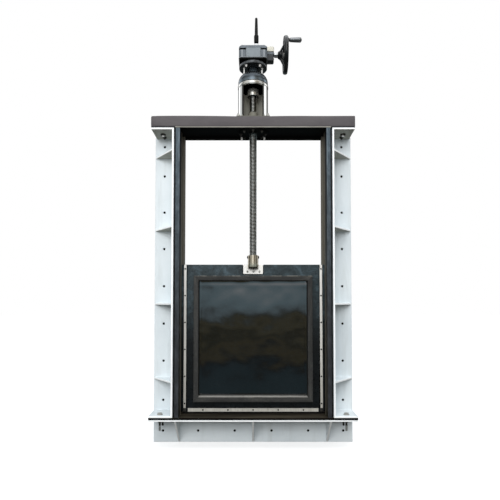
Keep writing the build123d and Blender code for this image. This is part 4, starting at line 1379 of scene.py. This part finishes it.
def leaf():
    bm = union(
        "leaf_slab",
        [lambda bm: add_box(bm, (-0.735, LF, LZ0), (0.735, LB, LZ1))],
        [lambda bm: add_box(bm, (-0.104, LF - 0.02, 1.683), (0.104, LF + 0.054, LZ1 + 0.02))],
    )
    obj_from("leaf_slab", bm, M["band"], "leaf", "leaf_panel", bevel=0.003, segs=3)

    # glossy field inside the raised square, turned up a little along its edges
    nx, nz = 72, 76
    x0, x1, z0, z1 = -0.5325, 0.5325, 0.4875, 1.6185
    bm = bmesh.new()
    front, back = [], []
    for j in range(nz + 1):
        rowf, rowb = [], []
        for i in range(nx + 1):
            x = x0 + (x1 - x0) * i / nx
            z = z0 + (z1 - z0) * j / nz
            d = min(x - x0, x1 - x, z - z0, z1 - z)
            lift = 0.0010 * max(0.0, 1 - d / 0.014) ** 2
            w = 0.0016 * noise.noise(Vector((x * 3.1 + 5, z * 2.6, 1.0))) + 0.0007 * noise.noise(Vector((x * 8.0, z * 8.0, 4.0)))
            top = 0.0009 * math.exp(-(((z1 - z) - 0.035) / 0.03) ** 2) * (0.6 + 0.9 * noise.noise(Vector((x * 5.0, 9.0, 0))))
            rowf.append(bm.verts.new((x, LF - 0.0035 - lift - w - max(top, -0.002), z)))
            rowb.append(bm.verts.new((x, LF - 0.0002, z)))
        front.append(rowf)
        back.append(rowb)
    for j in range(nz):
        for i in range(nx):
            bm.faces.new((front[j][i], front[j][i + 1], front[j + 1][i + 1], front[j + 1][i]))
            bm.faces.new((back[j][i], back[j + 1][i], back[j + 1][i + 1], back[j][i + 1]))
    for j in range(nz):
        bm.faces.new((front[j][0], front[j + 1][0], back[j + 1][0], back[j][0]))
        bm.faces.new((front[j + 1][nx], front[j][nx], back[j][nx], back[j + 1][nx]))
    for i in range(nx):
        bm.faces.new((front[0][i + 1], front[0][i], back[0][i], back[0][i + 1]))
        bm.faces.new((front[nz][i], front[nz][i + 1], back[nz][i + 1], back[nz][i]))
    obj_from("leaf_gloss_field", bm, M["leaf"], "leaf", smooth=60)


leaf()


def ring():
    """Raised square: hollow moulded box section, mitred, its faces a little uneven."""
    y0, y1 = -0.235, -0.130
    outer = (0.580, 0.440, 1.666)
    w = 0.048
    sect = []  # (inset from the outer edge, y)
    r = 0.006
    for cx, cy, a0 in ((w - r, y0 + r, 0), (r, y0 + r, 90)):
        for k in range(5):
            a = math.radians(a0 + 90 * k / 4)
            sect.append((cx + r * math.cos(a), cy - r * math.sin(a)))
    sect = [(w, y1)] + sect + [(0.0, y1)]
    corners = [(-1, -1), (1, -1), (1, 1), (-1, 1)]
    steps = 36
    bm = bmesh.new()
    rings = []
    for c in range(4):
        a, b = corners[c], corners[(c + 1) % 4]
        for k in range(steps):
            t = k / steps
            ring_v = []
            for inset, y in sect:
                hx = outer[0] - inset
                zl, zh = outer[1] + inset, outer[2] - inset
                pa = Vector((a[0] * hx, 0, zl if a[1] < 0 else zh))
                pb = Vector((b[0] * hx, 0, zl if b[1] < 0 else zh))
                p = pa.lerp(pb, t)
                p.y = y
                wob = 0.0
                if 0 < k:
                    q = Vector((p.x * 6.0, inset * 40.0, p.z * 6.0))
                    wob = 0.0016 * noise.noise(q)
                if y < y1 - 0.001:
                    p.y = y + abs(wob) * 0.8
                    out = Vector((p.x, 0, p.z - (outer[1] + outer[2]) / 2))
                    if inset < 0.02:
                        p.x -= math.copysign(abs(wob), p.x) if abs(p.x) > 0.5 else 0.0
                    else:
                        if abs(p.x) > 0.5 and 0 < k:
                            p.x += wob
                        elif 0 < k:
                            p.z += wob
                ring_v.append(bm.verts.new(p))
            rings.append(ring_v)
    n = len(sect)
    total = len(rings)
    for k in range(total):
        a, b = rings[k], rings[(k + 1) % total]
        for i in range(n):
            f = bm.faces.new((a[i], a[(i + 1) % n], b[(i + 1) % n], b[i]))
            level = (k // steps) % 2 == 0
            # slot 2, the faces of the opening, takes the darkened ring tones: painted shade
            f.material_index = 2 if i == 0 else 1 if level else 0
    # dark mitre joints in the four corners
    for sx in (-1, 1):
        for z0, z1 in ((outer[1], outer[1] + w), (outer[2], outer[2] - w)):
            d = math.copysign(1.0, z1 - z0)
            pts = [
                (sx * (outer[0] - 0.004), z0 + d * 0.0052), (sx * (outer[0] - w + 0.004), z0 + d * (w - 0.0028)),
                (sx * (outer[0] - w + 0.0052), z0 + d * (w - 0.004)), (sx * (outer[0] - 0.0028), z0 + d * 0.004),
            ]
            add_prism(bm, pts, "Y", y0 + 0.0002, y0 + 0.004, 3)
    # thin pale sheet along the foot of the opening: painted light on its upward face
    add_box(bm, (-0.5315, -0.2285, 0.4878), (0.5315, -0.1480, 0.4886), 4)
    obj_from("stiffening_square", bm, [M["ring"], M["ring_flat"], M["ring_opening_painted_shade"], M["seam"], M["opening_foot_light"]], "leaf", "leaf_ring", smooth=40)


ring()


def strips():
    for s in (-1, 1):
        bm = bmesh.new()
        x0, x1 = (0.661, 0.692) if s > 0 else (-0.692, -0.661)
        steps = 40
        rings = []
        for k in range(steps + 1):
            z = LZ0 + 0.036 + (LZ1 - 0.002 - LZ0 - 0.036) * k / steps
            wob = 0.0010 * math.sin(z * 2.2 + s)
            rings.append([bm.verts.new(p) for p in ((x0 + 0.0035 + wob, LF - 0.0006, z), (x1 - 0.0035 + wob, LF - 0.0006, z), (x1 - 0.0035 + wob, LF - 0.003, z), (x0 + 0.0035 + wob, LF - 0.003, z))])
        bm.faces.new(rings[0])
        bm.faces.new(list(reversed(rings[-1])))
        for a, b in zip(rings, rings[1:]):
            for i in range(4):
                bm.faces.new((a[i], a[(i + 1) % 4], b[(i + 1) % 4], b[i]))
        # a black sheet behind each strip and wider than it: painted shade in the gaps beside the strip
        add_box(bm, (min(x0, s * 0.6560), LF - 0.0008, LZ0 + 0.034), (max(x1, s * 0.6560), LF, LZ1 - 0.001), 1)
        add_box(bm, (x0 + 0.0002, LF - 0.0028, LZ0 + 0.001), (x1 - 0.0002, LF, LZ0 + 0.0335), 2)
        obj_from(
            "right_clamp_strip" if s > 0 else "left_clamp_strip", bm, [M["strip"], M["seam"], M["bolt_dark"]], "leaf",
            "right_edge_strip" if s > 0 else "left_edge_strip", bevel=0.0008, segs=2,
        )
    bm = bmesh.new()
    steps = 50
    rings = []
    for k in range(steps + 1):
        x = -0.645 + 1.290 * k / steps
        wob = 0.0
        rings.append([bm.verts.new(p) for p in ((x, LF, 0.328), (x, LF, 0.362 - abs(wob)), (x, LF - 0.003, 0.362 - abs(wob)), (x, LF - 0.003, 0.328))])
    bm.faces.new(rings[0])
    bm.faces.new(list(reversed(rings[-1])))
    for a, b in zip(rings, rings[1:]):
        for i in range(4):
            bm.faces.new((a[i], a[(i + 1) % 4], b[(i + 1) % 4], b[i]))
    obj_from("bottom_clamp_strip", bm, M["strip"], "leaf", "bottom_strip", bevel=0.0008, segs=2)

    bm = bmesh.new()
    for s in (-1, 1):
        for k in range(6):
            z = 0.408 + k * 0.2665
            dome_head(bm, (s * 0.6765, LF - 0.003, z), 0.0080, 0.0045, "Y", -1)
    for k in range(-2, 3):
        dome_head(bm, (k * 0.248, LF - 0.003, 0.345), 0.0080, 0.0045, "Y", -1)
    obj_from("strip_screws", bm, M["seam"], "leaf", smooth=40)


strips()


def lifting():
    # bracket block with a half round seat for the socket
    bm = union(
        "bracket_block",
        [
            lambda bm: add_prism(
                bm,
                [(-0.098, 1.782)]
                + [(-0.088 + 0.010 * math.cos(math.radians(a)), 1.699 + 0.010 * math.sin(math.radians(a))) for a in range(180, 271, 15)]
                + [(0.088 + 0.010 * math.cos(math.radians(a)), 1.699 + 0.010 * math.sin(math.radians(a))) for a in range(270, 361, 15)]
                + [(0.098, 1.782)],
                "Y", -0.136, -0.076,
            )
        ],
        [lambda bm: add_lathe(bm, [(0, 1.738), (0.05205, 1.738), (0.05205, 1.83), (0, 1.83)], (0, STEM_Y, 0), "Z", 64)],
    )
    obj_from("bracket_block", bm, M["strip"], "leaf", "lifting_bracket", bevel=0.0015, segs=2)
    bm = bmesh.new()
    for x in (-0.056, 0.004, 0.064):
        hex_head(bm, (x, -0.136, 1.713), 0.0085, 0.006, "Y", -1, 0, 0.0015)
    obj_from("bracket_bolts", bm, M["bolt"], "leaf", smooth=40)
    bm = bmesh.new()
    prof = [(0, 1.738), (0.034, 1.738)]
    for k in range(1, 7):
        a = math.radians(90 * k / 6)
        prof.append((0.034 + 0.018 * math.sin(a), 1.756 - 0.018 * math.cos(a)))
    prof += [(0.052, 1.868), (0.051, 1.8705), (0.048, 1.872), (0.0370, 1.872), (0.0370, 1.80), (0, 1.80)]
    add_lathe(bm, prof, (0, STEM_Y, 0), "Z", 72)
    obj_from("stem_cup", bm, M["cup"], "leaf", "stem_socket", smooth=40)
    bm = bmesh.new()
    add_lathe(bm, round_profile([(0, -0.060), (0.011, -0.060), (0.011, 0.060), (0, 0.060)], 0.002), (0, STEM_Y, 1.854), "X", 32)
    for s in (-1, 1):
        add_tube_lathe(bm, [(0.0112, s * 0.0525), (0.016, s * 0.0525), (0.016, s * 0.0550), (0.0112, s * 0.0550)], (0, STEM_Y, 1.854), "X", 32)
    obj_from("cross_pin", bm, M["bolt_dark"], "leaf", "coupling_pin", smooth=40)
    bm = bmesh.new()
    add_box(bm, (-0.692, -0.124, 0.310), (0.692, -0.066, 0.328))
    obj_from("sill_seal", bm, M["rubber"], "leaf", "bottom_seal", bevel=0.006, segs=4)


lifting()


def stem():
    """Trapezoidal thread as one helical surface."""
    pitch, n = 0.014, 28
    z0, z1 = 1.870, 3.918
    R, r = 0.0365, 0.0315
    # radius over one pitch: root, flank, crest, flank
    stations = [(0.0, r), (0.34, r), (0.42, R - 0.0004), (0.47, R), (0.79, R), (0.84, R - 0.0004), (0.92, r)]
    bm = bmesh.new()
    turns = int((z1 - z0) / pitch) + 2
    per = len(stations)

    def radius(z, a):
        u = ((z - z0) / pitch - a / (2 * math.pi)) % 1.0
        pts = stations + [(1.0, r)]
        for (u0, r0), (u1, r1) in zip(pts, pts[1:]):
            if u0 <= u <= u1:
                return r0 + (r1 - r0) * (u - u0) / max(u1 - u0, 1e-9)
        return r

    # rows follow the helix, so the thread's edges are exact
    cols = []
    for i in range(n):
        a = 2 * math.pi * i / n
        col = [(z0, radius(z0, a))]
        for k in range(-1, turns + 1):
            for u, rad in stations:
                z = z0 + (k + u + a / (2 * math.pi)) * pitch
                if z0 + 1e-6 < z < z1 - 1e-6:
                    col.append((z, rad))
        col.append((z1, radius(z1, a)))
        cols.append((a, col))
    m = min(len(c) for _, c in cols)
    grid = []
    for a, col in cols:
        grid.append([bm.verts.new((rad * math.cos(a), STEM_Y + rad * math.sin(a), z)) for z, rad in col])
    for i in range(n):
        a, b = grid[i], grid[(i + 1) % n]
        za = [v.co.z for v in a]
        zb = [v.co.z for v in b]
        p = q = 0
        # zip the two columns together by height
        while p < len(a) - 1 or q < len(b) - 1:
            if q == len(b) - 1 or (p < len(a) - 1 and za[p + 1] <= zb[q + 1]):
                bm.faces.new((a[p], b[q], a[p + 1]))
                p += 1
            else:
                bm.faces.new((a[p], b[q], b[q + 1]))
                q += 1
    top = [g[-1] for g in grid]
    bot = [g[0] for g in grid]
    bm.faces.new(list(reversed(bot)))
    bm.faces.new(top)
    obj_from("threaded_stem", bm, M["stem"], "leaf", "stem", smooth=30)
    bm = bmesh.new()
    add_lathe(bm, [(0, 1.8005), (0.0365, 1.8005), (0.0365, 1.8705), (0, 1.8705)], (0, STEM_Y, 0), "Z", 48)
    add_lathe(bm, [(0, 3.9175), (0.0315, 3.9175), (0.0315, 3.923), (0.0295, 3.925), (0, 3.925)], (0, STEM_Y, 0), "Z", 48)
    obj_from("stem_ends", bm, M["steel"], "leaf", smooth=30)


stem()


# ------------------------------------------------------------------ drive sleeve
def sleeve():
    bm = bmesh.new()
    prof = [(0.039, 3.469), (0.0545, 3.469), (0.0572, 3.4703), (0.058, 3.473), (0.058, 3.531), (0.0565, 3.5355), (0.052, 3.540), (0.044, 3.5403), (0.044, 3.860), (0.039, 3.860)]
    add_tube_lathe(bm, prof, (0, STEM_Y, 0), "Z", 96)
    obj_from("nut_sleeve", bm, M["sleeve"], "drive_sleeve", "drive_sleeve", smooth=28)
    bm = bmesh.new()
    for k in range(4):
        a = math.radians(45 + 90 * k)
        c, s = math.cos(a), math.sin(a)
        # grub screws set in the sleeve
        m4 = Matrix.Translation((0.0576 * c, STEM_Y + 0.0576 * s, 3.462)) @ Matrix.Rotation(a, 4, "Z") @ Matrix.Rotation(math.radians(90), 4, "Y")
        sub = bmesh.new()
        add_lathe(sub, [(0, -0.004), (0.0045, -0.004), (0.0045, 0.0002), (0.0026, 0.0002), (0.0026, -0.002), (0, -0.002)], (0, 0, 0), "Z", 16)
        bmesh.ops.transform(sub, matrix=m4, verts=sub.verts)
        me = bpy.data.meshes.new("tmp")
        sub.to_mesh(me)
        sub.free()
        bm.from_mesh(me)
        bpy.data.meshes.remove(me)
    obj_from("sleeve_screws", bm, M["mast"], "drive_sleeve", smooth=40)


sleeve()


# ------------------------------------------------------------------ handwheel
WX, WR, RR, RA = 0.327, 0.165, 0.0148, 0.0218
HANDLE = math.radians(3.5)
HY = STEM_Y + 0.165 * math.sin(HANDLE)
HZ = AXIS_Z + 0.165 * math.cos(HANDLE)


def handwheel():
    o = (0, STEM_Y, AXIS_Z)
    bm = bmesh.new()
    # rim
    sect = []
    for k in range(20):
        a = 2 * math.pi * k / 20
        sect.append((WR + RR * math.cos(a), WX + RA * math.sin(a)))
    add_tube_lathe(bm, sect, o, "X", 128)
    # hub
    add_tube_lathe(
        bm,
        round_loop([(0.0152, 0.2502), (0.031, 0.2502), (0.035, 0.256), (0.040, 0.264), (0.0462, 0.273), (0.0466, 0.281), (0.041, 0.296), (0.030, 0.302), (0.0152, 0.302)]),
        o, "X", 72,
    )
    # three dished spokes, oval in section
    for s in range(3):
        ang = math.radians(90 - 3.5 + 60 + 120 * s)
        path = []
        steps = 18
        for k in range(steps + 1):
            t = k / steps
            rad = 0.036 + (WR - 0.004 - 0.036) * t
            x = 0.277 + (WX - 0.277) * (t ** 1.25) + 0.006 * math.sin(math.pi * t)
            width = 0.0215 - 0.0065 * math.sin(math.pi * min(t * 1.1, 1.0)) + 0.003 * max(0.0, t - 0.8) / 0.2
            thick = 0.0105 - 0.0035 * t + 0.002 * max(0.0, t - 0.85) / 0.15
            path.append((rad, x, width, thick))
        rings = []
        for i, (rad, x, wd, th) in enumerate(path):
            # direction along the spoke in the (radial, axial) plane
            j0, j1 = max(i - 1, 0), min(i + 1, steps)
            dr, dx = path[j1][0] - path[j0][0], path[j1][1] - path[j0][1]
            ln = math.hypot(dr, dx)
            nr, nx_ = -dx / ln, dr / ln
            ring_v = []
            for q in range(16):
                b = 2 * math.pi * q / 16
                side = wd * math.cos(b)
                off = th * math.sin(b)
                rr_, xx = rad + nr * off, x + nx_ * off
                u = rr_ * math.cos(ang) - side * math.sin(ang)
                v = rr_ * math.sin(ang) + side * math.cos(ang)
                ring_v.append(bm.verts.new((xx, STEM_Y + u, AXIS_Z + v)))
            rings.append(ring_v)
        bm.faces.new(rings[0])
        bm.faces.new(list(reversed(rings[-1])))
        for a, b in zip(rings, rings[1:]):
            for q in range(16):
                bm.faces.new((a[q], a[(q + 1) % 16], b[(q + 1) % 16], b[q]))
    # boss of the handle
    add_tube_lathe(
        bm,
        round_loop([(0.0082, 0.316), (0.018, 0.316), (0.022, 0.322), (0.022, 0.354), (0.0195, 0.3655), (0.0082, 0.3655)]),
        (0, HY, HZ), "X", 48,
    )
    obj_from("wheel_casting", bm, M["wheel"], "handwheel", "handwheel", smooth=45)

    bm = bmesh.new()
    add_lathe(
        bm,
        round_profile([(0, 0.190), (0.0148, 0.190), (0.0148, 0.2125), (0.024, 0.2132), (0.024, 0.2498), (0.015, 0.2500), (0.015, 0.306), (0, 0.306)], 0.0015),
        o, "X", 64,
    )
    obj_from("input_shaft", bm, M["chrome"], "handwheel", "pinion_shaft", smooth=35)
    bm = bmesh.new()
    hex_head(bm, (0.302, STEM_Y, AXIS_Z), 0.0215, 0.010, "X", 1, 0, 0.003)
    obj_from("shaft_nut", bm, M["bolt"], "handwheel", smooth=35)
    bm = bmesh.new()
    add_lathe(bm, [(0, 0.314), (0.008, 0.314), (0.008, 0.489), (0.0112, 0.4892), (0.0120, 0.4905), (0.0112, 0.4926), (0.006, 0.493), (0, 0.493)], (0, HY, HZ), "X", 32)
    obj_from("grip_spindle", bm, M["steel"], "handwheel", "handle_spindle", smooth=35)
    bm = bmesh.new()
    prof = [(0.0086, 0.3682), (0.0150, 0.3682), (0.0182, 0.3700), (0.0203, 0.3740), (0.0212, 0.382), (0.0224, 0.406), (0.0238, 0.438), (0.0247, 0.464), (0.0248, 0.474), (0.0240, 0.4815), (0.0215, 0.486), (0.0165, 0.4880), (0.0086, 0.4880)]
    add_tube_lathe(bm, prof, (0, HY, HZ), "X", 64)
    obj_from("grip_handle", bm, M["grip"], "grip", "handwheel_grip", smooth=45)


def round_loop(pts, radius=0.0018, segs=3):
    """Rounds every corner of a closed (r, t) loop."""
    out = []
    n = len(pts)
    for i in range(n):
        pa, pb, pc = Vector(pts[i - 1]), Vector(pts[i]), Vector(pts[(i + 1) % n])
        d1, d2 = pa - pb, pc - pb
        ang = d1.angle(d2)
        if ang > math.radians(170):
            out.append(tuple(pb))
            continue
        cut = min(radius / math.tan(ang / 2), d1.length * 0.45, d2.length * 0.45)
        p1, p2 = pb + d1.normalized() * cut, pb + d2.normalized() * cut
        for k in range(segs + 1):
            s = k / segs
            q = p1 * (1 - s) ** 2 + pb * 2 * s * (1 - s) + p2 * s**2
            out.append((q.x, q.y))
    return out


handwheel()


# ------------------------------------------------------------------ floor and light
def floor():
    bm = bmesh.new()
    v = [bm.verts.new(p) for p in ((-30, -12, -0.003), (30, -12, -0.003), (30, 60, -0.003), (-30, 60, -0.003))]
    bm.faces.new(v)
    me = bpy.data.meshes.new("floor")
    bm.to_mesh(me)
    bm.free()
    o = bpy.data.objects.new("floor", me)
    scene.collection.objects.link(o)
    m = Mat("floor_pale")
    n = m.noise(0.8, 3.0)
    col = m.ramp(n, [(0.3, (0.86, 0.86, 0.86, 1)), (0.7, (0.90, 0.90, 0.90, 1))])
    m.set(color=m.mix(0.45, col, (0.2, 0.2, 0.2, 1.0)), rough=m.map(n, 0.85, 0.95), spec=0.0, normal=m.bump(n, 0.0001))
    m.b.inputs["Emission Color"].default_value = (1.0, 1.0, 1.0, 1.0)
    m.b.inputs["Emission Strength"].default_value = 0.55
    me.materials.append(m.m)
    o.visible_diffuse = False
    o.visible_glossy = False


floor()


def world():
    w = bpy.data.worlds.new("world")
    scene.world = w
    w.use_nodes = True
    w.cycles.sampling_method = "NONE"
    t = w.node_tree
    t.nodes.clear()

    def new(kind):
        return t.nodes.new(kind)

    def mathn(op, a, b=None):
        n = new("ShaderNodeMath")
        n.operation = op
        for i, v in zip(n.inputs, (a, b)):
            if v is None:
                continue
            if isinstance(v, (int, float)):
                i.default_value = v
            else:
                t.links.new(v, i)
        return n.outputs[0]

    def ramp(fac, stops, interp="LINEAR"):
        r = new("ShaderNodeValToRGB")
        r.color_ramp.interpolation = interp
        els = r.color_ramp.elements
        while len(els) < len(stops):
            els.new(0.5)
        for e, (p, c) in zip(els, stops):
            e.position = p
            e.color = (*c, 1.0)
        t.links.new(fac, r.inputs["Fac"])
        return r.outputs[0]

    def mixc(fac, a, b):
        n = new("ShaderNodeMix")
        n.data_type = "RGBA"
        ins = [i for i in n.inputs if i.type == "RGBA"]
        t.links.new(fac, n.inputs["Factor"])
        t.links.new(a, ins[0])
        t.links.new(b, ins[1])
        return [o for o in n.outputs if o.type == "RGBA"][0]

    tc = new("ShaderNodeTexCoord")
    sep = new("ShaderNodeSeparateXYZ")
    t.links.new(tc.outputs["Generated"], sep.inputs[0])
    X, Y, Z = sep.outputs
    # elevation and azimuth as fractions: 0.5 is the horizon, 0.5 is -Y
    el = mathn("ADD", mathn("DIVIDE", mathn("ARCSINE", Z), math.pi), 0.5)
    az = mathn("ADD", mathn("DIVIDE", mathn("ARCTAN2", X, mathn("MULTIPLY", Y, -1.0)), 2 * math.pi), 0.5)

    def e(deg):
        return (deg + 90.0) / 180.0

    def a(deg):
        return (deg + 180.0) / 360.0

    soft = ramp(el, [
        (e(-90), (0.115, 0.112, 0.098)),
        (e(-20), (0.125, 0.122, 0.108)),
        (e(-4), (0.24, 0.24, 0.235)),
        (e(8), (0.62, 0.65, 0.68)),
        (e(35), (0.80, 0.84, 0.87)),
        (e(90), (1.15, 1.18, 1.20)),
    ])
    nz = new("ShaderNodeTexNoise")
    nz.inputs["Scale"].default_value = 9.0
    nz.inputs["Detail"].default_value = 4.0
    nz.inputs["Roughness"].default_value = 0.55
    nz.inputs["Distortion"].default_value = 0.4
    t.links.new(tc.outputs["Generated"], nz.inputs["Vector"])
    rough_el = mathn("ADD", el, mathn("MULTIPLY", mathn("SUBTRACT", nz.outputs["Fac"], 0.5), 0.022))
    low = ramp(rough_el, [
        (e(-90), (0.07, 0.07, 0.065)),
        (e(-30), (0.05, 0.055, 0.055)),
        (e(-11), (0.10, 0.15, 0.17)),
        (e(-8.2), (0.09, 0.13, 0.15)),
        (e(-7.0), (0.05, 0.05, 0.05)),
        (e(-5.6), (0.24, 0.20, 0.11)),
        (e(-4.4), (0.06, 0.06, 0.045)),
        (e(-3.0), (0.30, 0.26, 0.15)),
        (e(-1.8), (0.10, 0.10, 0.08)),
        (e(-0.9), (0.42, 0.52, 0.57)),
        (e(0.6), (0.56, 0.78, 0.88)),
        (e(9), (1.08, 1.15, 1.19)),
        (e(30), (1.17, 1.21, 1.24)),
        (e(90), (1.10, 1.12, 1.14)),
    ])
    ring = ramp(az, [
        (a(-180), (0.03, 0.03, 0.03)),
        (a(-147), (0.04, 0.04, 0.04)),
        (a(-143), (1.35, 1.37, 1.40)),
        (a(-127), (1.35, 1.37, 1.40)),
        (a(-121), (0.75, 0.77, 0.78)),
        (a(-101), (0.80, 0.82, 0.84)),
        (a(-96), (0.10, 0.10, 0.10)),
        (a(-84), (0.06, 0.06, 0.06)),
        (a(-78), (0.30, 0.30, 0.28)),
        (a(-70), (0.40, 0.40, 0.38)),
        (a(-38), (0.50, 0.50, 0.48)),
        (a(-26), (0.80, 0.82, 0.84)),
        (a(-14), (1.70, 1.74, 1.78)),
        (a(2), (1.50, 1.52, 1.55)),
        (a(14), (0.62, 0.60, 0.56)),
        (a(24), (0.20, 0.17, 0.13)),
        (a(40), (0.22, 0.19, 0.15)),
        (a(52), (0.50, 0.50, 0.48)),
        (a(72), (0.42, 0.42, 0.41)),
        (a(79), (0.10, 0.10, 0.09)),
        (a(93), (0.10, 0.10, 0.10)),
        (a(98), (1.40, 1.42, 1.45)),
        (a(118), (1.35, 1.37, 1.40)),
        (a(124), (0.42, 0.42, 0.42)),
        (a(139), (0.40, 0.40, 0.40)),
        (a(145), (0.04, 0.04, 0.04)),
        (a(180), (0.03, 0.03, 0.03)),
    ])
    # the ring of bright and dark bands stands between 3 and 48 degrees, away from straight ahead
    band = ramp(el, [(e(1.5), (0, 0, 0)), (e(6), (1, 1, 1)), (e(44), (1, 1, 1)), (e(56), (0, 0, 0))])
    gloss = mixc(band, low, ring)

    def background(col, k):
        b = new("ShaderNodeBackground")
        t.links.new(col, b.inputs[0])
        b.inputs["Strength"].default_value = k
        return b.outputs[0]

    lp = new("ShaderNodeLightPath")
    white = new("ShaderNodeBackground")
    white.inputs[0].default_value = (1, 1, 1, 1)
    white.inputs["Strength"].default_value = 1.0
    m1 = new("ShaderNodeMixShader")
    t.links.new(lp.outputs["Is Glossy Ray"], m1.inputs[0])
    t.links.new(background(soft, 1.0), m1.inputs[1])
    t.links.new(background(gloss, 1.0), m1.inputs[2])
    m2 = new("ShaderNodeMixShader")
    t.links.new(lp.outputs["Is Camera Ray"], m2.inputs[0])
    t.links.new(m1.outputs[0], m2.inputs[1])
    t.links.new(white.outputs[0], m2.inputs[2])
    out = new("ShaderNodeOutputWorld")
    t.links.new(m2.outputs[0], out.inputs[0])


world()


def area(name, loc, aim, size, power, color=(1, 1, 1)):
    d = bpy.data.lights.new(name, "AREA")
    d.shape = "RECTANGLE"
    d.size, d.size_y = size
    d.energy = power
    d.color = color
    o = bpy.data.objects.new(name, d)
    scene.collection.objects.link(o)
    o.location = loc
    o.rotation_euler = (Vector(aim) - Vector(loc)).to_track_quat("-Z", "Y").to_euler()
    o.visible_glossy = False
    return o


area("key", (-1.4, -8.0, 4.4), (0, -0.15, 1.8), (6.0, 4.5), 500.0)
area("top", (1.5, -3.0, 9.0), (0, -0.15, 1.8), (4.0, 4.0), 180.0)

scene.view_settings.view_transform = "Standard"
scene.view_settings.look = "None"
scene.view_settings.exposure = 0.0
scene.view_settings.gamma = 1.0
